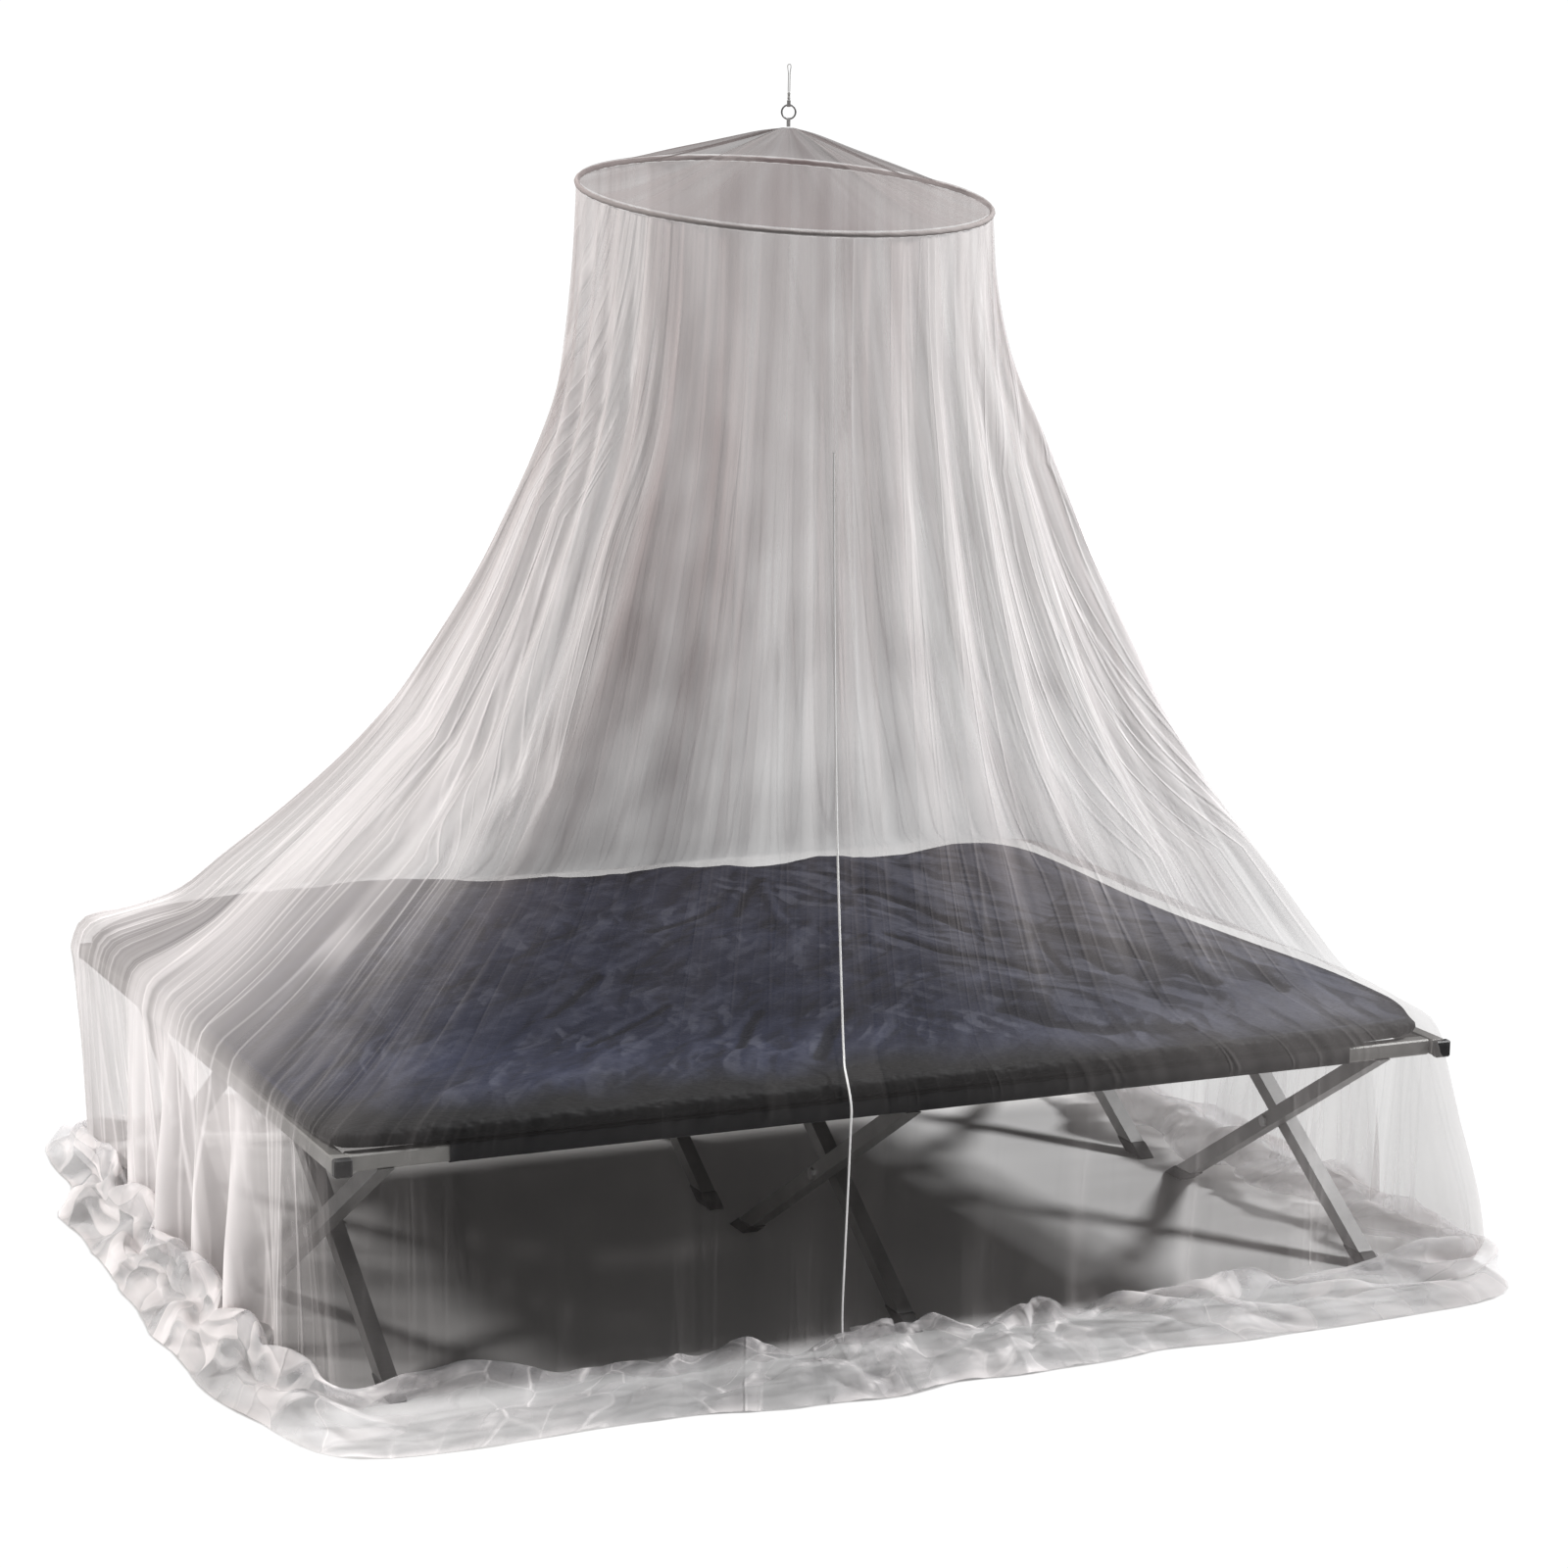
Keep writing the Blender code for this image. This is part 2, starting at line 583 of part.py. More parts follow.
def relief(direction, humps):
    """Sum of rounded humps, each given by its direction, half width and height, at a direction."""
    total = 0.0
    degrees = math.degrees(direction) % 360
    for centre, half_width, height in humps:
        off = abs((degrees - centre + 180) % 360 - 180) / half_width
        if off < 1:
            total += height * math.cos(off * math.pi / 2) ** 2
    return total


def crumple(direction, section):
    """An uneven share from -1 to 1 for the heap on the floor."""
    first = math.sin(19 * direction + 2.1 * section)
    second = math.sin(31 * direction - 1.3 * section + 0.8)
    third = math.sin(7 * direction + 0.9 * section)
    return 0.45 * first + 0.35 * second + 0.20 * third


def net_columns():
    """Directions of the upright lines of the net, closer together where it turns a corner."""
    corner = math.atan2(NET_SHOULDER[1], NET_SHOULDER[0])
    turns = (-corner, corner, math.pi - corner, math.pi + corner, 2 * math.pi - corner)
    directions = []
    for (side, count), start, end in zip(COLUMNS, turns, turns[1:]):
        low = outline_at(start, NET_SHOULDER, 400)
        high = outline_at(end, NET_SHOULDER, 400)
        for step in range(count):
            share = step / count
            along = low.lerp(high, share)
            by_edge = math.atan2(along.y, along.x)
            by_turn = start + (end - start) * share
            by_edge += 2 * math.pi * round((by_turn - by_edge) / (2 * math.pi))
            directions.append(0.5 * (by_edge + by_turn))
        directions += [start - CORNER_STEP, start + CORNER_STEP]
    start = OVERLAP_START
    turned_round = sorted((direction - start) % (2 * math.pi) for direction in directions)
    kept = [turn for turn in turned_round if turn > 0.02]
    extra = [OVERLAP * step / 2 for step in range(3)]
    return [start] + [start + turn for turn in kept] + [start + 2 * math.pi + turn for turn in extra]


def edge_height(direction):
    """Height of the net where it lies over the bed's edge."""
    return EDGE_HEIGHT + EDGE_HEIGHT_FAR * math.sin(direction)


def tent_point(direction, section):
    """A point of the net between the hoop and the bed's edge."""
    fall, flare_left, flare_right, folds = section
    hoop = hoop_point(direction, HOOP_RADIUS, -CASING_OUTER - 2 * GAP)
    edge = outline_at(direction, NET_EDGE, CORNER_SHARPNESS)
    edge.z = edge_height(direction)
    to_right = (1 + math.cos(direction)) / 2
    flare = flare_left + (flare_right - flare_left) * to_right
    place = hoop.lerp(edge, flare)
    place.z = hoop.z + (edge.z - hoop.z) * fall
    place += outward(direction) * relief(direction, MAIN_FOLDS) * folds
    if MATTRESS_LEFT - 0.01 < place.x < MATTRESS_RIGHT + 0.01 and abs(place.y) < MATTRESS_HALF_WIDTH + 0.01:
        place.z = max(place.z, MATTRESS_FLOOR + mattress_height(place.x, place.y) + NET_OVER_MATTRESS)
    return place


def fall_point(direction, section):
    """A point of the net where it hangs beside the bed."""
    share, height, folds = section
    shoulder = outline_at(direction, NET_SHOULDER, CORNER_SHARPNESS)
    foot = outline_at(direction, NET_FOOT, CORNER_SHARPNESS * (1 - 0.5 * share))
    place = shoulder.lerp(foot, share)
    place.z = height
    reach = relief(direction, FOOT_REACH) * share
    return place + outward(direction) * (reach + relief(direction, MAIN_FOLDS) * folds)


def heap_point(direction, section, number):
    """A point of the heap that the net makes on the floor."""
    share, height, rough = section
    out = outward(direction)
    foot = outline_at(direction, NET_FOOT, CORNER_SHARPNESS / 2)
    foot += out * (relief(direction, MAIN_FOLDS) * 2.4 * (1 - share) + relief(direction, FOOT_REACH))
    hem = outline_at(direction, NET_HEM, HEM_SHARPNESS) + out * relief(direction, HEM_REACH)
    place = foot.lerp(hem, share)
    heap = HEAP_SIDE + (HEAP_END - HEAP_SIDE) * math.cos(direction) ** 2
    place.z = HEM_LIFT + heap * max(0.0, height + rough * 0.5 * crumple(direction, number))
    wave = 0.010 * crumple(direction, number + 3) * share
    return place + out * wave


def net_line(direction, lift):
    """One upright line of the net from hoop to hem, lifted off its outer face by lift."""
    places = [tent_point(direction, section) for section in TENT_SECTIONS]
    places += [fall_point(direction, section) for section in FALL_SECTIONS]
    places += [heap_point(direction, section, number) for number, section in enumerate(HEAP_SECTIONS)]
    out = outward(direction)
    normals = []
    for place, after in zip(places, places[1:]):
        run = after - place
        normals.append((out * -run.z + Vector((0.0, 0.0, run.dot(out)))).normalized())
    lifted = []
    for index, place in enumerate(places):
        above = normals[max(index - 1, 0)]
        below = normals[min(index, len(normals) - 1)]
        middle = (above + below).normalized()
        lifted.append(place + middle * (lift / max(0.5, middle.dot(above))))
    return lifted


def rest_on_floor(piece):
    """Keep the finished sheet from dipping under the floor."""
    finished = bpy.data.meshes.new_from_object(piece.evaluated_get(bpy.context.evaluated_depsgraph_get()))
    for vert in finished.vertices:
        vert.co.z = max(0.0, vert.co.z)
    piece.modifiers.clear()
    piece.data = finished


def make_skirt(net, group):
    """The body of the net: one sheet round the hoop whose upright edges overlap at the entrance."""
    rows = []
    directions = net_columns()
    for direction in directions:
        past = direction - OVERLAP_START
        if past <= OVERLAP * 1.05:
            lift = OVERLAP_LIFT
        else:
            lift = OVERLAP_LIFT * max(0.0, 1 - (past / OVERLAP - 1.05) / 1.2)
        rows.append(net_line(direction, lift))
    shape = skin(rows, "net_skirt", False, False)
    bmesh.ops.recalc_face_normals(shape, faces=shape.faces)
    piece = add_object("net_skirt", mesh_from(shape, "net_skirt"), net, group)
    thicken(piece, NET_THICKNESS)
    rest_on_floor(piece)
    piece.data.shade_smooth()


def make_binding(tape, group):
    """The narrow bound edge of the outer flap, from below the hoop to the hem."""
    falls = [section[0] for section in TENT_SECTIONS]
    first = next(index for index, fall in enumerate(falls) if fall >= BINDING_START)
    start, after = net_columns()[:2]
    edge = net_line(start, OVERLAP_LIFT + BINDING_CLEARANCE)[first:]
    beside = net_line(after, OVERLAP_LIFT + BINDING_CLEARANCE)[first:]
    inner = [place + (other - place).normalized() * BINDING_WIDTH for place, other in zip(edge, beside)]
    lines = [edge, inner]
    shape = skin(lines, "entrance_binding", False, False)
    bmesh.ops.recalc_face_normals(shape, faces=shape.faces)
    piece = add_object("entrance_binding", mesh_from(shape, "entrance_binding"), tape, group)
    thicken(piece, BINDING_THICKNESS)
    rest_on_floor(piece)


def main():
    """Build every piece."""
    clear_scene()
    group = collection(COLLECTION)
    cutters = collection("cutters")
    aluminium = material("aluminium_tube", (0.62, 0.61, 0.60), 0.38, 0.9)
    plastic = material("black_plastic", (0.02, 0.02, 0.02), 0.5)
    rubber = material("black_rubber", (0.03, 0.03, 0.03), 0.8)
    steel = material("steel", (0.70, 0.70, 0.70), 0.3, 1.0)
    bed_cloth = material("black_bed_cloth", (0.02, 0.02, 0.025), 0.9)
    mat_cloth = material("slate_cloth", (0.10, 0.11, 0.15), 0.85)
    net = material("white_net", (0.86, 0.84, 0.83), 0.8, alpha=0.5)
    tape = material("white_tape", (0.90, 0.89, 0.87), 0.8)
    rod = material("grey_rod", (0.30, 0.28, 0.27), 0.5)
    cord = material("white_cord", (0.85, 0.85, 0.83), 0.8)
    make_rails(aluminium, plastic, group)
    make_legs(aluminium, rubber, steel, group, cutters)
    make_sling(bed_cloth, group)
    make_mattress(mat_cloth, group)
    make_hoop(rod, net, group)
    make_roof(net, group)
    make_hanging_gear(steel, tape, cord, group)
    make_skirt(net, group)
    make_binding(tape, group)


main()
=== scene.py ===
"""Looks of the mosquito net canopy over its camp bed: finer cloth, finishes, lights and camera."""
import math

import bmesh
import bpy
import numpy as np
from mathutils import Matrix, Vector


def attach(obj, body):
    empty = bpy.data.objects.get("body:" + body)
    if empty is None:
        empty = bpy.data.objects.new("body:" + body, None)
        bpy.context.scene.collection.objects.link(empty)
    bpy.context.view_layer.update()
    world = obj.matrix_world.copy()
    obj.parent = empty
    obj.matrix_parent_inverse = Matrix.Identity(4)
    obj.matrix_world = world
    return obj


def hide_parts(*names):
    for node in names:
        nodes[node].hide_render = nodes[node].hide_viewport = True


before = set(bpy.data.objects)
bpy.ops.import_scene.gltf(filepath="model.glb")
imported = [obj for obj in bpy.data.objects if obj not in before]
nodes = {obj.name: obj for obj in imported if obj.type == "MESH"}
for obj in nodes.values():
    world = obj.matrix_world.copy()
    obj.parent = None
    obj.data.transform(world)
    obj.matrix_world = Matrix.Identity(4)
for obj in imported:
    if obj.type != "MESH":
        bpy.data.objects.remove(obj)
bpy.ops.object.select_all(action="DESELECT")
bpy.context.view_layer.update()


# --- Camera ------------------------------------------------------------------------------------------
# The photograph was taken from a little over two metres up, near the front and to the left of the bed,
# with a long lens that looks slightly down. The frame is square.
CAMERA_PLACE = Vector((-2.6495, -5.9500, 2.0177))
CAMERA_RIGHT = Vector((0.91007, -0.41414, 0.01604))
CAMERA_UP = Vector((0.06385, 0.17835, 0.98189))
CAMERA_AHEAD = Vector((0.4095, 0.89257, -0.18875))

camera_data = bpy.data.cameras.new("camera")
camera_data.lens = 89.44
camera_data.sensor_width = 36.0
camera_data.clip_start = 0.1
camera_data.clip_end = 200.0
camera = bpy.data.objects.new("camera", camera_data)
bpy.context.scene.collection.objects.link(camera)
turn = Matrix((CAMERA_RIGHT, CAMERA_UP, -CAMERA_AHEAD)).transposed()
camera.matrix_world = Matrix.Translation(CAMERA_PLACE) @ turn.to_4x4()
bpy.context.scene.camera = camera


# --- Hanging cord ------------------------------------------------------------------------------------
# A thin white braided cord, doubled through the ring at the crown and whipped into a short knot, with
# the loop at its top for the ceiling hook. It is laid from the knot, up, round the loop and back.
VIEW_TURN = math.radians(-24.6)
CORD_EXIT = Vector((0.055, -0.030, 1.9261))
CORD_TOP = 1.972
CORD_RADIUS = 0.0007
CORD_BIGHT = 0.0028
CORD_SPREAD = 0.0014
CORD_BIGHT_START = 0.70


class Value:
    """A socket of a material's nodes. Sums on it add Math nodes."""

    def __init__(self, tree, socket=None):
        self.tree = tree
        self.socket = socket

    def node(self, kind, settings, inputs, output=0):
        """Add a node of a kind: its settings first, then the values or links of its sockets."""
        made = self.tree.nodes.new(kind)
        for name, setting in settings.items():
            if name == "stops":
                stops = made.color_ramp.elements
                while len(stops) < len(setting):
                    stops.new(0.5)
                for stop, (place, colour) in zip(stops, setting):
                    stop.position = place
                    stop.color = colour
            else:
                setattr(made, name, setting)
        for name, value in inputs.items():
            if isinstance(value, Value):
                self.tree.links.new(value.socket, made.inputs[name])
            else:
                made.inputs[name].default_value = value
        return Value(self.tree, made.outputs[output])

    def math(self, operation, first, second=None):
        """A Math node of two numbers or sockets."""
        inputs = {0: first}
        if second is not None:
            inputs[1] = second
        return self.node("ShaderNodeMath", {"operation": operation}, inputs)

    def __add__(self, other):
        return self.math("ADD", self, other)

    def __radd__(self, other):
        return self.math("ADD", other, self)

    def __sub__(self, other):
        return self.math("SUBTRACT", self, other)

    def __rsub__(self, other):
        return self.math("SUBTRACT", other, self)

    def __mul__(self, other):
        return self.math("MULTIPLY", self, other)

    def __rmul__(self, other):
        return self.math("MULTIPLY", other, self)

    def __pow__(self, other):
        return self.math("POWER", self, other)

    def between(self, low, high):
        """0 below low, 1 above high, and a smooth step from one to the other."""
        settings = {"interpolation_type": "SMOOTHSTEP"}
        return self.node("ShaderNodeMapRange", settings, {"Value": self, "From Min": low, "From Max": high})

    def mix(self, first, second):
        """A colour from first to second by this share."""
        made = self.tree.nodes.new("ShaderNodeMix")
        made.data_type = "RGBA"
        self.tree.links.new(self.socket, made.inputs[0])
        for place, colour in ((6, first), (7, second)):
            if isinstance(colour, Value):
                self.tree.links.new(colour.socket, made.inputs[place])
            else:
                made.inputs[place].default_value = (*colour, 1.0)
        return Value(self.tree, made.outputs[2])

    def noise(self, where, scale, detail=2.0, roughness=0.5, output="Fac"):
        """Soft noise at a place."""
        return self.node("ShaderNodeTexNoise", {}, {
            "Vector": where, "Scale": scale, "Detail": detail, "Roughness": roughness}, output)

    def stretched(self, where, scale, place=(0.0, 0.0, 0.0), turned=(0.0, 0.0, 0.0)):
        """A place stretched, turned and moved."""
        return self.node("ShaderNodeMapping", {}, {
            "Vector": where, "Location": place, "Rotation": turned, "Scale": scale})

    def split(self, where, axis):
        """One axis of a place."""
        return self.node("ShaderNodeSeparateXYZ", {}, {"Vector": where}, axis)

    def cells(self, where, feature, output):
        """Uneven straight-sided pieces of a plane."""
        settings = {"feature": feature, "voronoi_dimensions": "2D"}
        return self.node("ShaderNodeTexVoronoi", settings, {"Vector": where, "Scale": 1.0}, output)

    def warped(self, where, scale, amount):
        """A place moved a little to and fro."""
        sway = self.noise(where, scale, 0.0, 0.5, "Color")
        sway = self.node("ShaderNodeVectorMath", {"operation": "SUBTRACT"}, {0: sway, 1: (0.5, 0.5, 0.5)})
        reach = (amount, amount, 0.0)
        sway = self.node("ShaderNodeVectorMath", {"operation": "MULTIPLY"}, {0: sway, 1: reach})
        return self.node("ShaderNodeVectorMath", {"operation": "ADD"}, {0: where, 1: sway})


def new_finish(name, roughness, metallic=0.0):
    """A material, its shader node and a start for its sums."""
    made = bpy.data.materials.new(name)
    made.use_nodes = True
    shader = made.node_tree.nodes["Principled BSDF"]
    shader.inputs["Roughness"].default_value = roughness
    shader.inputs["Metallic"].default_value = metallic
    return made, shader, Value(made.node_tree)


def feed(shader, name, value):
    """Link a sum to a socket of the shader."""
    value.tree.links.new(value.socket, shader.inputs[name])


def raise_surface(start, shader, height, distance, strength=1.0):
    """Let a height raise the surface."""
    bump = start.node("ShaderNodeBump", {}, {"Height": height, "Distance": distance, "Strength": strength})
    feed(shader, "Normal", bump)


def cord_finish():
    """White cord with its twist of strands."""
    made, shader, start = new_finish("braided_cord", 0.75)
    place = start.node("ShaderNodeTexCoord", {}, {}, "Object")
    slanted = start.split(place, 2) * 2400.0 + start.split(place, 0) * 1600.0
    strands = start.math("SINE", slanted)
    wear = start.noise(place, 260.0, 3.0)
    feed(shader, "Base Color", (wear * 0.6 + strands * 0.2).mix((0.60, 0.59, 0.57), (0.42, 0.41, 0.40)))
    raise_surface(start, shader, strands, 0.0002)
    return made


def cord_route():
    """Up one strand, round the loop at the top and down the other strand."""
    across = Vector((math.cos(VIEW_TURN), math.sin(VIEW_TURN), 0.0))
    rise = CORD_TOP - CORD_EXIT.z - 0.001 - CORD_BIGHT
    strand = []
    for step in range(11):
        share = step / 10
        part = max(0.0, (share - CORD_BIGHT_START) / (1 - CORD_BIGHT_START))
        width = CORD_SPREAD + (CORD_BIGHT - CORD_SPREAD) * part * part * (3 - 2 * part)
        strand.append((width, share * rise))
    arc = [math.pi * step / 8 for step in range(1, 8)]
    route = [(-width, height) for width, height in strand]
    route += [(-CORD_BIGHT * math.cos(turn), rise + CORD_BIGHT * math.sin(turn)) for turn in arc]
    route += list(reversed(strand))
    return [CORD_EXIT + across * offset + Vector((0, 0, height)) for offset, height in route]


white_cord = cord_finish()
cord_curve = bpy.data.curves.new("cord_to_ceiling", "CURVE")
cord_curve.dimensions = "3D"
cord_curve.bevel_depth = CORD_RADIUS
cord_curve.bevel_resolution = 3
cord_curve.use_fill_caps = True
cord_line = cord_curve.splines.new("POLY")
cord_points = cord_route()
cord_line.points.add(len(cord_points) - 1)
for cord_point, cord_place in zip(cord_line.points, cord_points):
    cord_point.co = (*cord_place, 1.0)
cord_to_ceiling = bpy.data.objects.new("cord_to_ceiling", cord_curve)
bpy.context.scene.collection.objects.link(cord_to_ceiling)
cord_curve.materials.append(white_cord)
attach(cord_to_ceiling, "root")
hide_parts("hanging_cord")
for name in ("cord_eye", "cord_knot"):
    nodes[name].material_slots[0].material = white_cord


# --- Rails and legs ----------------------------------------------------------------------------------
# Square aluminium tube, bare and satin: four rails, an end bar across each end, and three stations of
# crossed legs on steel pivots.
def tube_finish(name, pale, dark, metallic):
    """Satin aluminium, drawn along its length and dulled in places."""
    made, shader, start = new_finish(name, 0.42, metallic)
    place = start.node("ShaderNodeTexCoord", {}, {}, "Object")
    lines = start.noise(start.stretched(place, (30.0, 900.0, 900.0)), 1.0, 3.0)
    dull = start.noise(place, 14.0, 4.0, 0.6)
    shade = lines * 0.35 + dull * 0.75
    feed(shader, "Base Color", shade.mix(pale, dark))
    feed(shader, "Roughness", dull * 0.25 + 0.32)
    raise_surface(start, shader, lines * 0.3 + dull, 0.0004)
    return made


leg_tube = tube_finish("satin_leg_tube", (0.36, 0.355, 0.35), (0.19, 0.187, 0.185), 0.85)
# The rails take a copy of the legs' aluminium, less metallic and of another tone, so that their faces read
# lighter than the legs: painted light.
lit_rail_tube = tube_finish("satin_rail_tube", (0.29, 0.283, 0.268), (0.21, 0.204, 0.195), 0.35)
for name in nodes:
    if name.startswith("leg_"):
        nodes[name].material_slots[0].material = leg_tube
    if name.startswith(("side_rail", "middle_rail", "end_bar")):
        nodes[name].material_slots[0].material = lit_rail_tube


# --- Pivots and ring ---------------------------------------------------------------------------------
# Plain steel: the rivets where the legs cross, and the bent wire ring at the crown.
def steel_finish():
    """Plain steel with fine scratches."""
    made, shader, start = new_finish("plain_steel", 0.35, 1.0)
    place = start.node("ShaderNodeTexCoord", {}, {}, "Object")
    scratches = start.noise(start.stretched(place, (400.0, 400.0, 2600.0)), 1.0, 3.0)
    feed(shader, "Base Color", scratches.mix((0.62, 0.62, 0.62), (0.40, 0.40, 0.40)))
    feed(shader, "Roughness", scratches * 0.3 + 0.2)
    return made


plain_steel = steel_finish()
for name in nodes:
    if name.startswith("pivot_") or name == "hang_ring":
        nodes[name].material_slots[0].material = plain_steel


# --- Caps and feet -----------------------------------------------------------------------------------
# Moulded black caps pushed on the ends of the end bars, and rubber feet on the legs.
def moulded_finish(name, colour, roughness, grain):
    """Moulded black plastic or rubber with a fine grain and some dust."""
    made, shader, start = new_finish(name, roughness)
    place = start.node("ShaderNodeTexCoord", {}, {}, "Object")
    fine = start.noise(place, grain, 2.0)
    dust = start.noise(place, 40.0, 4.0, 0.65).between(0.45, 0.75)
    feed(shader, "Base Color", (dust * 0.6).mix(colour, (0.09, 0.088, 0.085)))
    feed(shader, "Roughness", dust * 0.2 + (roughness - 0.1))
    raise_surface(start, shader, fine, 0.0002)
    return made


black_cap = moulded_finish("moulded_cap", (0.012, 0.012, 0.013), 0.5, 900.0)
black_rubber = moulded_finish("rubber_foot", (0.022, 0.021, 0.021), 0.75, 600.0)
for name in nodes:
    if name.startswith("end_cap"):
        nodes[name].material_slots[0].material = black_cap
    if name.startswith("foot_"):
        nodes[name].material_slots[0].material = black_rubber


# --- Bed cloth ---------------------------------------------------------------------------------------
# One length of black woven cloth, stretched between the side rails, with a sewn sleeve along each.
RAIL_HEIGHT = 0.390
BED_WIDTH = 1.40
TUBE = 0.026
CLOTH_THICKNESS = 0.0018
CLOTH_GAP = 0.0003
SLING_LENGTH = 1.56


def woven_finish(name, colour, worn, pitch, roughness):
    """Woven cloth with crossing threads, worn paler in places."""
    made, shader, start = new_finish(name, roughness)
    place = start.node("ShaderNodeTexCoord", {}, {}, "Object")
    turn = 2 * math.pi / pitch
    warp = start.math("SINE", start.split(place, 0) * turn)
    weft = start.math("SINE", (start.split(place, 1) + start.split(place, 2)) * turn)
    threads = warp * weft * 0.5 + 0.5
    patches = start.noise(place, 9.0, 5.0, 0.6)
    feed(shader, "Base Color", (patches * 0.8 + threads * 0.2).mix(colour, worn))
    raise_surface(start, shader, threads, 0.0003, 0.6)
    shader.inputs["Sheen Weight"].default_value = 0.15
    return made


bed_cloth = woven_finish("black_bed_cloth", (0.004, 0.004, 0.005), (0.012, 0.012, 0.013), 0.0016, 0.85)
bed_cloth.node_tree.nodes["Principled BSDF"].inputs["Specular IOR Level"].default_value = 0.15

sleeve_half = TUBE / 2 + CLOTH_GAP + CLOTH_THICKNESS / 2
sleeve_corner = 0.003
sleeve_line = []
for corner_y, corner_z, first_turn in ((-1, -1, 180), (-1, 1, 180)):
    for corner_step in range(7):
        corner_turn = math.radians(first_turn + (90 - 15 * corner_step) * (1 if corner_z < 0 else 0)
                                   - 15 * corner_step * (1 if corner_z > 0 else 0))
        sleeve_y = corner_y * (sleeve_half - sleeve_corner) + sleeve_corner * math.cos(corner_turn)
        sleeve_z = corner_z * (sleeve_half - sleeve_corner) + sleeve_corner * math.sin(corner_turn)
        sleeve_line.append((-BED_WIDTH / 2 + sleeve_y, sleeve_z))
sleeve_inner = -BED_WIDTH / 2 + sleeve_half
sleeve_line = [(sleeve_inner, 0.0), (sleeve_inner, -sleeve_half)] + sleeve_line
across_line = [(y, sleeve_half - 0.006 * (1 - (y / 0.66) ** 2)) for y in np.linspace(-0.66, 0.66, 45)]
sling_line = sleeve_line + across_line + [(-y, z) for y, z in reversed(sleeve_line)]
sling_shape = bmesh.new()
sling_rows = []
for x in np.linspace(-SLING_LENGTH / 2, SLING_LENGTH / 2, 261):
    pull = 0.0006 * math.sin(x * 61.0) + 0.0005 * math.sin(x * 23.0 + 1.0)
    edge_roll = 0.0016 * math.exp(-((SLING_LENGTH / 2 - abs(x)) / 0.006) ** 2)
    row = []
    for y, z in sling_line:
        out = edge_roll + pull * max(0.0, abs(y) - 0.62) / 0.09
        row.append(sling_shape.verts.new((x, y + math.copysign(out, y) * 0.6, RAIL_HEIGHT + z)))
    sling_rows.append(row)
for before, after in zip(sling_rows, sling_rows[1:]):
    for number in range(len(sling_line) - 1):
        sling_shape.faces.new((before[number], after[number], after[number + 1], before[number + 1]))
sling_mesh = bpy.data.meshes.new("bed_sling")
sling_shape.to_mesh(sling_mesh)
sling_shape.free()
sling_mesh.shade_smooth()
bed_sling = bpy.data.objects.new("bed_sling", sling_mesh)
bpy.context.scene.collection.objects.link(bed_sling)
sling_mesh.materials.append(bed_cloth)
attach(bed_sling, "root")
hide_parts("sling_cloth")


# --- Mattress ----------------------------------------------------------------------------------------
# A thin padded mat with a slack slate-blue cover of woven polyester, creased all over, with a few long
# valleys at the right. Its colour is near black along its side band, painted shade, paler to the right,
# painted light, and carries painted light and shade on its creases and folds. It lies on the bed cloth,
# drawn in at its corners.
MATTRESS_FLOOR = RAIL_HEIGHT + TUBE / 2 + CLOTH_THICKNESS + 2 * CLOTH_GAP
MATTRESS_LEFT = -0.955
MATTRESS_RIGHT = 0.940
MATTRESS_HALF_WIDTH = 0.712
MATTRESS_EDGE = 0.034
MATTRESS_CROWN = 0.046
MATTRESS_CORNER = 0.022
MATTRESS_HUMPS = (  # centre x, centre y, radius, height
    (0.70, 0.64, 0.24, 0.017), (-0.70, 0.62, 0.30, 0.038), (-0.28, 0.66, 0.26, 0.018),
    (-0.84, -0.10, 0.30, 0.010), (0.26, 0.62, 0.24, 0.015), (0.62, -0.42, 0.26, 0.006),
    (-0.10, -0.45, 0.34, -0.008), (0.86, -0.46, 0.26, 0.020), (0.80, 0.20, 0.28, -0.018),
)
MATTRESS_STEPS = (330, 250)
MATTRESS_OVERHANG = 0.014    # the slack cover reaches over the end bar on the left
MATTRESS_BULGE = 0.009       # and a little over the near rail
COVER_SIDE = (  # how far the side bulges, share of its height
    (1.006, 0.86), (1.012, 0.66), (1.013, 0.45), (1.010, 0.25), (1.002, 0.08), (0.990, 0.0),
)
COVER_WEAVE = 0.0014         # metres between two crossing threads
# How sharply the painted shade and light of the folds turn from dark to pale.
FOLD_SHADE_CONTRAST = 0.0009
CREASES = (  # size along the fold and across it, turned by degrees, height, share on the left, on the right
    (0.46, 0.20, 44.0, 0.0130, 1.0, 0.6), (0.30, 0.085, 50.0, 0.0110, 1.0, 0.2),
    (0.17, 0.048, 61.0, 0.0060, 1.0, 0.4), (0.090, 0.030, 36.0, 0.0026, 1.0, 0.5),
    (0.50, 0.170, 100.0, 0.0240, 0.1, 1.0), (0.28, 0.100, 76.0, 0.0150, 0.1, 1.0),
    (0.16, 0.060, 122.0, 0.0080, 0.2, 1.0), (0.20, 0.085, 150.0, 0.0060, 0.5, 1.0),
)


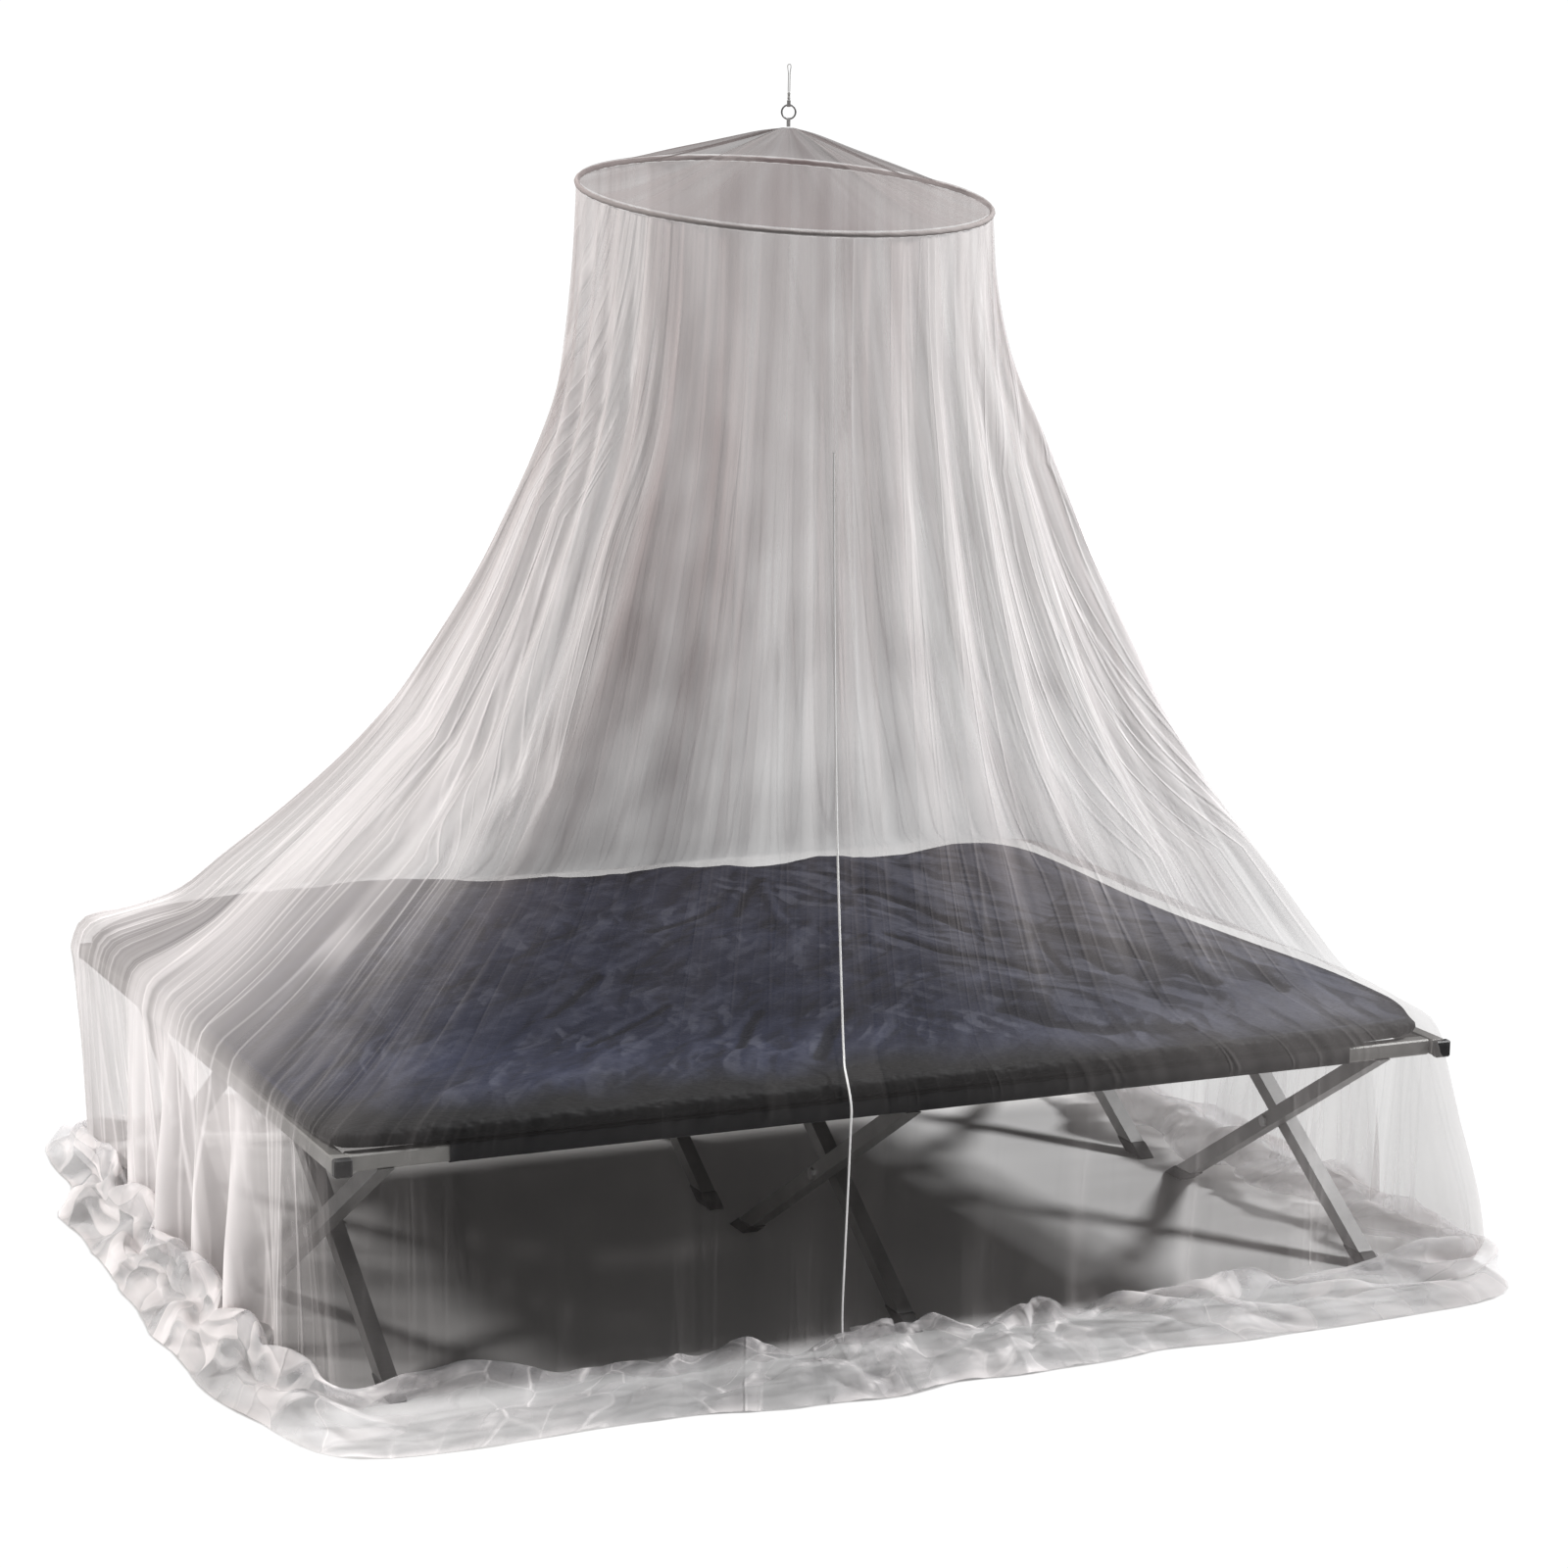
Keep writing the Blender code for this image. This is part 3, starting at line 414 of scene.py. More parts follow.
MATTRESS_VALLEYS = (  # depth, half width, then points
    (0.011, 0.022, ((0.576, 0.06), (0.602, -0.074), (0.628, -0.204), (0.635, -0.361), (0.626, -0.507))),
    (0.008, 0.020, ((0.257, -0.509), (0.290, -0.590), (0.359, -0.630), (0.506, -0.650))),
    (0.007, 0.013, ((0.554, -0.215), (0.536, -0.301), (0.529, -0.374))),
    (0.005, 0.009, ((0.528, -0.111), (0.489, -0.23), (0.454, -0.346))),
    (0.006, 0.014, ((0.40, 0.36), (0.45, 0.20), (0.46, 0.04))),
    (0.006, 0.014, ((0.30, 0.02), (0.40, -0.16), (0.42, -0.30))),
    (0.007, 0.016, ((0.72, -0.28), (0.76, -0.42), (0.74, -0.56))),
    (0.005, 0.011, ((-0.086, 0.183), (0.007, 0.247), (0.097, 0.323))),
    (0.005, 0.011, ((0.098, 0.238), (0.179, 0.379), (0.256, 0.484))),
    (-0.003, 0.008, ((0.247, 0.443), (0.148, 0.137))),
    (0.005, 0.010, ((-0.242, -0.553), (-0.165, -0.417), (-0.111, -0.334))),
    (0.007, 0.013, ((-0.14, -0.625), (-0.053, -0.493), (0.01, -0.415))),
    (0.004, 0.009, ((-0.464, -0.468), (-0.365, -0.388), (-0.252, -0.28))),
    (0.005, 0.012, ((-0.465, -0.302), (-0.362, -0.168), (-0.281, -0.053))),
)
# Straight creases painted into the cover's colour as light and shade on their two sides:
COVER_CREASE_SHADING = (  # length, width, turned by degrees, share on the left and on the right
    (0.30, 0.085, 50.0, 0.42, 0.0), (0.14, 0.042, 60.0, 0.50, 0.20), (0.070, 0.024, 38.0, 0.42, 0.40),
    (0.26, 0.095, 98.0, 0.0, 0.85), (0.12, 0.050, 122.0, 0.10, 0.80),
)
# How far apart lie the two samples whose difference gives the painted crease shading.
CREASE_SHIFT = (0.0032, 0.0012, 0.0)


def plane_corner(x, y, seed):
    """An uneven number from 0 to 1 at each whole place of a plane, the same on each run."""
    mixed = x.astype(np.int64) * 374761393 + y.astype(np.int64) * 668265263 + seed * 1442695041
    mixed = mixed & 0xFFFFFFFF
    mixed = ((mixed ^ (mixed >> 13)) * 1274126177) & 0xFFFFFFFF
    return ((mixed ^ (mixed >> 16)) & 0xFFFF) / 65535.0


def soft_noise(across, down, seed):
    """Smooth uneven numbers from 0 to 1 over a plane."""
    left, low = np.floor(across), np.floor(down)
    part_x, part_y = across - left, down - low
    part_x = part_x * part_x * part_x * (part_x * (part_x * 6 - 15) + 10)
    part_y = part_y * part_y * part_y * (part_y * (part_y * 6 - 15) + 10)
    right, up = left + 1, low + 1
    top = plane_corner(left, low, seed) * (1 - part_x) + plane_corner(right, low, seed) * part_x
    bottom = plane_corner(left, up, seed) * (1 - part_x) + plane_corner(right, up, seed) * part_x
    return top * (1 - part_y) + bottom * part_y


def facets(across, down, seed):
    """Uneven numbers from 0 to 1 over a plane of flat three-cornered pieces."""
    left, low = np.floor(across), np.floor(down)
    u, v = across - left, down - low
    near, far = plane_corner(left, low, seed), plane_corner(left + 1, low + 1, seed)
    right, up = plane_corner(left + 1, low, seed), plane_corner(left, low + 1, seed)
    low_side = near * (1 - u - v) + right * u + up * v
    high_side = far * (u + v - 1) + right * (1 - v) + up * (1 - u)
    return np.where(u + v < 1, low_side, high_side)


def mattress_height(x, y):
    """Height of the mattress over the bed's cloth."""
    middle = (MATTRESS_LEFT + MATTRESS_RIGHT) / 2
    along = np.clip((x - middle) / ((MATTRESS_RIGHT - MATTRESS_LEFT) / 2), -1, 1)
    across = np.clip(y / MATTRESS_HALF_WIDTH, -1, 1)
    crown = (1 - np.abs(along) ** 12) * (1 - np.abs(across) ** 12)
    height = MATTRESS_EDGE + MATTRESS_CROWN * crown * (0.85 + 0.15 * across)
    for hump_x, hump_y, radius, lift in MATTRESS_HUMPS:
        away = np.hypot(x - hump_x, y - hump_y) / radius
        height = height + lift * np.exp(-away * away) * (0.3 + 0.7 * crown)
    return height


def creases(x, y):
    """Flat-sided creases, slightly bent: slanting on the left, straight across on the right."""
    total = np.zeros_like(x)
    rightward = np.clip((x - 0.20 + 0.3 * (soft_noise(x / 0.3, y / 0.3, 72) - 0.5)) / 0.22, 0, 1)
    for number, (long, short, turned, height, on_left, on_right) in enumerate(CREASES):
        bend_x = 0.8 * short * (soft_noise(x / (1.6 * short) + 7.0, y / (1.6 * short), 71 + number) - 0.5)
        bend_y = 0.8 * short * (soft_noise(x / (1.6 * short), y / (1.6 * short) + 5.0, 61 + number) - 0.5)
        turn = math.radians(turned)
        u = (x + bend_x) * math.cos(turn) + (y + bend_y) * math.sin(turn)
        v = (y + bend_y) * math.cos(turn) - (x + bend_x) * math.sin(turn)
        flat = facets(u / long + 3.7 * number, v / short + 1.3 * number, 80 + number)
        patch = 0.4 + 1.2 * soft_noise(x / 0.19 + number, y / 0.23, 90 + number)
        total = total + height * patch * (on_left + (on_right - on_left) * rightward) * (flat - 0.62)
    return np.minimum(total, 0.004) - 0.15 * np.maximum(total - 0.004, 0.0)


def valleys(x, y):
    """How deep the few long creases reach at each place."""
    total = np.zeros_like(x)
    for depth, half_width, points in MATTRESS_VALLEYS:
        off = np.full_like(x, 9.0)
        for (from_x, from_y), (to_x, to_y) in zip(points, points[1:]):
            long = (to_x - from_x) ** 2 + (to_y - from_y) ** 2
            along = np.clip(((x - from_x) * (to_x - from_x) + (y - from_y) * (to_y - from_y)) / long, 0, 1)
            here = np.hypot(x - from_x - along * (to_x - from_x), y - from_y - along * (to_y - from_y))
            off = np.minimum(off, here)
        uneven = 0.6 + 0.8 * soft_noise(x / 0.06, y / 0.06, 44)
        total = total + depth * uneven * np.exp(-(off / half_width) ** 1.6)
    return total


def mattress_mesh():
    """The padded cover: top with creases, bulging side, flat underside, with the painted shade and light of
    its folds kept on its points.
    """
    count_x, count_y = MATTRESS_STEPS
    middle = (MATTRESS_LEFT + MATTRESS_RIGHT) / 2
    half = (MATTRESS_RIGHT - MATTRESS_LEFT) / 2
    grid_x, grid_y = np.meshgrid(
        np.linspace(-1, 1, count_x + 1), np.linspace(-1, 1, count_y + 1), indexing="ij")
    x = middle + half * np.sign(grid_x) * (1 - (1 - np.abs(grid_x)) ** 1.25) * 0.985
    y = MATTRESS_HALF_WIDTH * np.sign(grid_y) * (1 - (1 - np.abs(grid_y)) ** 1.25) * 0.982
    drawn_in = MATTRESS_CORNER * np.abs(grid_x * grid_y) ** 9
    x = x - np.sign(grid_x) * drawn_in
    y = y - np.sign(grid_y) * drawn_in
    height = mattress_height(x, y)
    inside = (1 - np.abs(grid_x) ** 26) * (1 - np.abs(grid_y) ** 16)
    deep = valleys(x, y) * inside
    height = height + creases(x, y) * inside - deep
    slope = np.clip((-grid_y - 0.80) / 0.20, 0, 1) ** 1.5
    height = height - slope * (height - 0.026) * 0.55
    to_left = np.clip((-grid_x - 0.86) / 0.14, 0, 1)
    height = height - to_left ** 1.5 * (height - 0.020) * 0.5
    x = x - MATTRESS_OVERHANG * np.clip((-grid_x - 0.7) / 0.3, 0, 1) ** 2
    y = y - MATTRESS_BULGE * np.clip((-grid_y - 0.6) / 0.4, 0, 1) ** 2
    z = MATTRESS_FLOOR + height
    shape = bmesh.new()
    # The fold attribute is painted shade and light: darker in hollows and along the valleys, lighter on
    # ridges and on slopes that face the right and the front.
    bend = np.zeros_like(z)
    bend[2:-2] += 2 * z[2:-2] - z[:-4] - z[4:]
    bend[:, 2:-2] += 2 * z[:, 2:-2] - z[:, :-4] - z[:, 4:]
    tilt = np.zeros_like(z)
    tilt[1:-1] -= z[2:] - z[:-2]
    tilt[:, 1:-1] += 0.7 * (z[:, 2:] - z[:, :-2])
    folds = 0.5 + 0.18 * np.tanh(bend / FOLD_SHADE_CONTRAST) + 0.16 * np.tanh(tilt / (1.5 * FOLD_SHADE_CONTRAST))
    folds = np.clip(folds - deep / 0.009, 0.0, 1.0)
    painted_fold_shade = shape.verts.layers.float.new("fold")
    grid = []
    for i in range(count_x + 1):
        grid.append([shape.verts.new((x[i, j], y[i, j], z[i, j])) for j in range(count_y + 1)])
        for j in range(count_y + 1):
            grid[i][j][painted_fold_shade] = folds[i, j]
    for i in range(count_x):
        for j in range(count_y):
            shape.faces.new((grid[i][j], grid[i + 1][j], grid[i + 1][j + 1], grid[i][j + 1]))
    rim = [grid[i][0] for i in range(count_x + 1)] + [grid[count_x][j] for j in range(1, count_y + 1)]
    rim += [grid[i][count_y] for i in range(count_x - 1, -1, -1)]
    rim += [grid[0][j] for j in range(count_y - 1, 0, -1)]
    last = rim
    for share, level in COVER_SIDE:
        ring = []
        for number, vert in enumerate(rim):
            pucker = 0.0011 * math.sin(number * 0.83) + 0.0009 * math.sin(number * 2.17)
            out = share + pucker * math.sin(math.pi * min(1.0, level / 0.9))
            ring.append(shape.verts.new((middle + (vert.co.x - middle) * out, vert.co.y * out,
                                         MATTRESS_FLOOR + MATTRESS_EDGE * level)))
        for number in range(len(rim)):
            after = (number + 1) % len(rim)
            shape.faces.new((last[number], ring[number], ring[after], last[after]))
        last = ring
    shape.faces.new(list(reversed(last)))
    bmesh.ops.recalc_face_normals(shape, faces=shape.faces)
    mesh = bpy.data.meshes.new("mattress_cover")
    shape.to_mesh(mesh)
    shape.free()
    mesh.shade_smooth()
    return mesh


def cover_finish():
    """Slack polyester cover: slate blue on top, near black along the side band and the front slope of the
    top, painted shade; paler to the right, painted light; painted light and shade on its creases and folds.
    """
    made, shader, start = new_finish("slate_cover", 0.62)
    place = start.node("ShaderNodeTexCoord", {}, {}, "Object")
    height = start.split(place, 2)
    rightward = (start.split(place, 0) + start.noise(place, 3.0, 1.0) * 0.4).between(0.25, 0.60)
    # Painted shade: the side band is near black, and so is the top's front slope along the near side, where
    # shade falls.
    near = (start.split(place, 1) + rightward * 0.08).between(-0.46, -0.64)
    wavy = start.noise(place, 7.0, 3.0) * 0.022 - 0.011 + rightward * 0.013
    top = (height + wavy).between(MATTRESS_FLOOR + 0.034, MATTRESS_FLOOR + 0.060)
    top = top * near + (height.between(MATTRESS_FLOOR + 0.010, MATTRESS_FLOOR + 0.030)) * (1 - near)
    cloud = start.noise(place, 4.0, 3.0, 0.6)
    slanted = start.stretched(place, (13.0, 26.0, 20.0), turned=(0.0, 0.0, 0.5))
    wrinkles = start.noise(slanted, 1.0, 3.0, 0.62)
    fold = start.node("ShaderNodeAttribute", {"attribute_name": "fold"}, {}, "Fac")
    slate = cloud.between(0.35, 0.65).mix((0.017, 0.020, 0.041), (0.012, 0.014, 0.030))
    # Painted light: the slate turns paler towards the right.
    to_right = start.split(place, 0).between(0.05, 0.75)
    slate = (to_right * 0.75).mix(slate, (0.082, 0.084, 0.104))
    swayed = start.warped(place, 11.0, 0.045)
    # Painted light and shade of the creases: two samples of cell distance a little apart give a slope, dark
    # on one side of each crease and pale on the other.
    sides = cloud * 0.3 - 0.15
    for long, short, turned, on_left, on_right in COVER_CREASE_SHADING:  # the two sides of straight creases
        heights = []
        for way in (1, -1):
            shift = (CREASE_SHIFT[0] * way + long, CREASE_SHIFT[1] * way + short, 0.0)
            lined = start.node("ShaderNodeMapping", {"vector_type": "TEXTURE"}, {
                "Vector": swayed, "Location": shift, "Rotation": (0.0, 0.0, math.radians(turned)),
                "Scale": (long, short, 1.0)})
            heights.append(start.cells(lined, "F1", "Distance"))
        share = rightward * (on_right - on_left) + on_left
        sides = sides + (heights[0] - heights[1]) * share * (short / 0.0064)
    patch = start.noise(place, 6.0, 2.0).between(0.36, 0.62)
    sides = sides * (patch * 0.75 + 0.25)
    # Painted shade on the crease sides turned away and painted light on those turned towards the lamp; then,
    # from the fold attribute, painted shade in hollows and valleys and painted light on ridges.
    slate = (sides.between(-0.02, -0.60) * 0.62).mix(slate, (0.0060, 0.0065, 0.013))
    slate = (sides.between(0.02, 0.60) * (rightward * 0.2 + 0.50)).mix(slate, (0.085, 0.088, 0.115))
    slate = (fold.between(0.50, 0.05) * 0.85).mix(slate, (0.0045, 0.0050, 0.010))
    slate = (fold.between(0.50, 0.95) * 0.55).mix(slate, (0.058, 0.062, 0.092))
    feed(shader, "Base Color", top.mix((0.0035, 0.0035, 0.004), slate))
    feed(shader, "Roughness", cloud * 0.2 + 0.5)
    turn = 2 * math.pi / COVER_WEAVE
    weave = start.math("SINE", start.split(place, 0) * turn)
    weave = weave * start.math("SINE", start.split(place, 1) * turn)
    raise_surface(start, shader, wrinkles + weave * 0.01, 0.016, 0.8)
    shader.inputs["Specular IOR Level"].default_value = 0.14
    shader.inputs["Sheen Weight"].default_value = 0.04
    return made


mattress_cover = bpy.data.objects.new("mattress_cover", mattress_mesh())
bpy.context.scene.collection.objects.link(mattress_cover)
mattress_cover.data.materials.append(cover_finish())
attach(mattress_cover, "root")
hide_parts("mattress")


# --- Hoop --------------------------------------------------------------------------------------------
# A thin grey sprung rod in a narrow casing of net sewn round it, a little tilted to the front.
HOOP_RADIUS = 0.343
HOOP_CENTRE = np.array((0.046, -0.040, 1.759))
HOOP_SLOPE = 0.141
CASING_OUTER = 0.0043


def rod_finish():
    """Grey fibreglass rod."""
    made, shader, start = new_finish("grey_rod", 0.45)
    place = start.node("ShaderNodeTexCoord", {}, {}, "Object")
    fibres = start.noise(place, 220.0, 3.0)
    feed(shader, "Base Color", fibres.mix((0.17, 0.158, 0.155), (0.26, 0.245, 0.24)))
    return made


nodes["hoop_rod"].material_slots[0].material = rod_finish()


# --- Crown -------------------------------------------------------------------------------------------
# The top panel of the same white net, cut round and drawn up to the ring, so that fine creases run
# from the ring to the hoop.
APEX = np.array((0.055, -0.030, 1.868))
ROOF_LIFT = 0.0068
ROOF_SECTIONS = (  # share of the way out, share of the fall, ridge depth
    (0.012, 0.002, 0.0), (0.05, 0.02, 0.000), (0.16, 0.14, 0.003), (0.36, 0.38, 0.004),
    (0.60, 0.64, 0.004), (0.84, 0.89, 0.002), (1.00, 1.00, 0.000),
)
ROOF_RIDGES = 11
ROOF_COLUMNS = 360
ROOF_FINE = 6


def through_rows(rows, fine):
    """Rows of points with smooth rows between them (Catmull-Rom), fine steps for each gap."""
    rows = np.asarray(rows)
    padded_rows = np.concatenate([2 * rows[:1] - rows[1:2], rows, 2 * rows[-1:] - rows[-2:-1]])
    made = []
    marks = []
    for gap in range(len(rows) - 1):
        before, low, high, after = padded_rows[gap:gap + 4]
        steps = fine[gap]
        for step in range(steps):
            t = step / steps
            bend = (2 * before - 5 * low + 4 * high - after) * t * t
            made.append(0.5 * (2 * low + (high - before) * t + bend
                               + (3 * low - before - 3 * high + after) * t ** 3))
            marks.append(gap + t)
    made.append(rows[-1])
    marks.append(len(rows) - 1.0)
    return np.array(made), np.array(marks)


def hoop_points(direction, radius, lift):
    """Points on the tilted hoop."""
    across = np.cos(direction) * radius
    away = np.sin(direction) * radius
    return np.stack([HOOP_CENTRE[0] + across, HOOP_CENTRE[1] + away,
                     HOOP_CENTRE[2] + away * HOOP_SLOPE + lift], -1)


def cloth_mesh(name, points, layers, closed):
    """A sheet through a grid of points (row, column), with its cloth coordinates as its UV maps."""
    rows, columns = points.shape[:2]
    number = np.arange(rows * columns).reshape(rows, columns)
    after = np.roll(number, -1, axis=1) if closed else number[:, 1:]
    here = number if closed else number[:, :-1]
    quads = np.stack([here[:-1], here[1:], after[1:], after[:-1]], -1).reshape(-1, 4)
    mesh = bpy.data.meshes.new(name)
    mesh.from_pydata(points.reshape(-1, 3).tolist(), [], quads.tolist())
    loops = quads.reshape(-1)
    for layer_name, cloth in layers.items():
        layer = mesh.uv_layers.new(name=layer_name)
        places = cloth[:, :columns].reshape(-1, 2)[loops].copy()
        if closed:
            last = (loops % columns == 0) & (np.tile((0, 0, 1, 1), len(quads)) == 1)
            places[last, 0] += cloth[0, -1, 0] - cloth[0, 0, 0]
        layer.data.foreach_set("uv", places.astype(np.float32).reshape(-1))
    mesh.shade_smooth()
    mesh.update()
    return mesh


def mark_sheet(piece, name, values):
    """Keep a number for each point of a sheet."""
    attribute = piece.data.attributes.new(name, "FLOAT", "POINT")
    attribute.data.foreach_set("value", np.ascontiguousarray(values, dtype=np.float32).reshape(-1))


def net_finish(name, shaded_thread, side_thread, low_thread, lit_thread, bands, pull, pooled=False):
    """Sheer white net: a fine mesh, denser and whiter where its folds lie, which run down the cloth; the
    white is partly denser net and partly painted light, and the plain thread is painted a shaded mauve grey.

    The sheet's own attributes give how much it covers and how white its folds are. Where it is pooled on the
    floor it is crushed, with painted shade on its facets and painted highlights on its crinkles, and lets
    light through.
    on the floor it is crushed, and lets light through."""
    made, shader, start = new_finish(name, 0.85)
    place = start.node("ShaderNodeTexCoord", {}, {}, "Object")
    cloth = start.node("ShaderNodeUVMap", {"uv_map": "cloth"}, {})
    strands = start.node("ShaderNodeUVMap", {"uv_map": "strands"}, {})
    cover = start.node("ShaderNodeAttribute", {"attribute_name": "cover"}, {}, "Fac")
    white = start.node("ShaderNodeAttribute", {"attribute_name": "white"}, {}, "Fac")
    crease = start.node("ShaderNodeAttribute", {"attribute_name": "crease"}, {}, "Fac")

    def along(across, down, shift, detail):
        """Noise drawn out down the strands of folds."""
        drawn_out = start.stretched(strands, (bands * across, bands * down, 1.0), (*shift, 0.0))
        return start.noise(drawn_out, 1.0, detail, 0.5)

    soft = along(1.0, 0.045, (7.7, 1.0), 1.0)
    fine = along(3.0, 0.09, (3.1, 0.0), 1.0)
    first = along(1.3, 0.11, (1.7, 4.0), 0.0)
    lower = start.split(place, 2).between(1.75, 1.15)
    lines = start.math("ABSOLUTE", first - 0.5).between(0.040, 0.0) * (lower * 0.35 + 0.25)
    patches = start.noise(cloth, 5.0, 1.0, 0.55).between(0.32, 0.68)
    if pooled:
        heaped = start.node("ShaderNodeAttribute", {"attribute_name": "heaped"}, {}, "Fac")
        hanging = soft.between(0.36, 0.64) * 0.80 + (fine - 0.5) * 0.6 + 0.10
        crushed = start.warped(start.stretched(cloth, (11.0, 17.0, 1.0)), 1.0, 0.9)
        # Painted light and shade of the crushed heap: each facet a tone of its own, pale lines along the
        # crinkles, and shading by slope from two samples a little apart.
        crumpled = start.noise(cloth, 9.0, 0.0) * 0.6 + start.cells(crushed, "F1", "Color") * 0.4
        crinkles = start.cells(crushed, "DISTANCE_TO_EDGE", "Distance").between(0.055, 0.0) * patches
        beside = start.stretched(crushed, (1.0, 1.0, 1.0), (0.05, 0.09, 0.0))
        slopes = (start.cells(beside, "F1", "Distance") - start.cells(crushed, "F1", "Distance")) * 9.0
        slopes = start.math("MAXIMUM", start.math("MINIMUM", slopes, 1.0), -1.0) * heaped
        folds = hanging * (1 - heaped) + crumpled.between(0.30, 0.70) * heaped
        drawn = lines * (white * 0.80 + 0.015) * (1 - heaped) + crinkles * heaped * 0.45
        lit = white * (folds * 0.95 + 0.08) + crease + drawn + slopes * (white * 0.25 + 0.08)
        covered = slopes * 0.10 - lit * heaped * 0.22
    else:
        broad = along(0.45, 0.030, (0.0, 0.0), 0.0)
        second = along(2.3, 0.16, (5.2, 2.0), 0.0)
        lines = lines + start.math("ABSOLUTE", second - 0.5).between(0.050, 0.0) * lower * 0.4
        folds = broad.between(0.38, 0.62) * 0.40 + soft.between(0.36, 0.64) * 0.40
        folds = folds + (fine - 0.5) * lower * 0.6 + 0.10
        lit = white * (folds * 0.95 + 0.08) + crease + lines * (white * 0.80 + 0.015)
        covered = 0.0
    uneven = (folds - 0.5) * (white * 0.5 + 0.22) + (patches - 0.5) * 0.14 + 1.0
    alpha = start.math("MINIMUM", cover * uneven + lit * 0.42 + covered, 0.93)
    feed(shader, "Alpha", alpha)
    # The plain thread is painted shade: a shaded mauve grey, paler where the folds are whiter, and of another
    # tone towards the floor.
    plain = white.between(0.15, 0.50).mix(shaded_thread, side_thread)
    plain = start.split(place, 2).between(1.15, 0.45).mix(plain, low_thread)
    if pooled:
        # Painted shade: the crushed net is darker where its folds are less white, paler where they are
        # whiter.
        plain = heaped.mix(plain, white.between(0.2, 0.8).mix((0.15, 0.147, 0.152), (0.75, 0.75, 0.77)))
        glow = start.node("ShaderNodeBsdfTranslucent", {}, {"Color": (0.82, 0.81, 0.81, 1.0)})
        clear = start.node("ShaderNodeBsdfTransparent", {}, {})
        glow = start.node("ShaderNodeMixShader", {}, {0: alpha, 1: clear, 2: glow})
        cloth_shader = Value(made.node_tree, shader.outputs[0])
        let_through = heaped * start.split(place, 0).between(0.2, 0.8) * 0.55
        both = start.node("ShaderNodeMixShader", {}, {0: let_through, 1: cloth_shader, 2: glow})
        made.node_tree.links.new(both.socket, made.node_tree.nodes["Material Output"].inputs["Surface"])
    # Painted light: the lit sum turns the thread towards the lit white; it stands partly for denser net in
    # the folds and creases, partly for light on them.
    feed(shader, "Base Color", start.math("MINIMUM", lit * 1.3, 1.0).mix(plain, lit_thread))
    raise_surface(start, shader, folds + patches * 0.3 + lines * 0.3, pull)
    return made


# Thread colours, in order: shaded, paler where the folds are whiter, towards the floor, lit. The net is
# white; its mauve grey is painted shade and its lit white painted light. The crown's are darker still,
# painted shade for a top panel that faces the lamps.
CROWN_SHADED_THREAD = ((0.066, 0.036, 0.035), (0.115, 0.092, 0.088), (0.17, 0.125, 0.125), (0.27, 0.235, 0.23))
NET_THREAD = ((0.41, 0.28, 0.262), (0.55, 0.485, 0.47), (0.49, 0.45, 0.44), (0.90, 0.85, 0.845))
crown_cloth = net_finish("crown_net", *CROWN_SHADED_THREAD, 9.0, 0.003)
net_cloth = net_finish("sheer_net", *NET_THREAD, 10.0, 0.006)
heap_cloth = net_finish("pooled_net", *NET_THREAD, 10.0, 0.006, True)

roof_turns = np.linspace(0, 2 * math.pi, ROOF_COLUMNS, endpoint=False)
roof_rim = hoop_points(roof_turns, HOOP_RADIUS - 0.001, ROOF_LIFT)
roof_rows = []
for roof_out, roof_fall, roof_ridge in ROOF_SECTIONS:
    row = APEX + (roof_rim - APEX) * roof_out
    row[:, 2] = APEX[2] + (roof_rim[:, 2] - APEX[2]) * roof_fall
    row[:, 2] += roof_ridge * np.cos(ROOF_RIDGES * roof_turns)
    fine_ridge = 0.5 * np.cos(37 * roof_turns + 1.0) + 0.5 * np.cos(59 * roof_turns + 4 * roof_out)
    row[:, 2] += 0.0014 * fine_ridge * math.sin(math.pi * min(1.0, roof_out)) * 0.9
    roof_rows.append(row)
roof_points, roof_marks = through_rows(roof_rows, [ROOF_FINE] * (len(roof_rows) - 1))
roof_cloth = np.zeros((len(roof_points), ROOF_COLUMNS + 1, 2))
roof_cloth[:, :, 0] = np.linspace(0, 2 * math.pi, ROOF_COLUMNS + 1)[None, :] * 0.60
roof_cloth[:, :, 1] = (roof_marks / roof_marks[-1])[:, None] * 0.36 + 5.0
roof_layers = {"cloth": roof_cloth, "strands": roof_cloth}
net_crown = bpy.data.objects.new("net_crown", cloth_mesh("net_crown", roof_points, roof_layers, True))
bpy.context.scene.collection.objects.link(net_crown)
net_crown.data.materials.append(crown_cloth)
roof_degrees = np.degrees(roof_turns)
# The crown's cover and white round it; the white is partly denser net and partly painted light, as on the
# body.
roof_at = (0, 60, 110, 170, 200, 232, 262, 290, 320, 360)
roof_cover = np.interp(roof_degrees, roof_at, (0.42, 0.46, 0.46, 0.40, 0.40, 0.44, 0.48, 0.40, 0.40, 0.42))
roof_white = np.interp(roof_degrees, roof_at, (0.60, 0.25, 0.25, 0.45, 0.55, 0.20, 0.12, 0.40, 0.50, 0.60))
mark_sheet(net_crown, "cover", np.broadcast_to(roof_cover[None], roof_points.shape[:2]))
mark_sheet(net_crown, "white", np.broadcast_to(roof_white[None], roof_points.shape[:2]))
mark_sheet(net_crown, "crease", np.zeros(roof_points.shape[:2]))
mark_sheet(net_crown, "heaped", np.zeros(roof_points.shape[:2]))
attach(net_crown, "root")
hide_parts("net_roof")


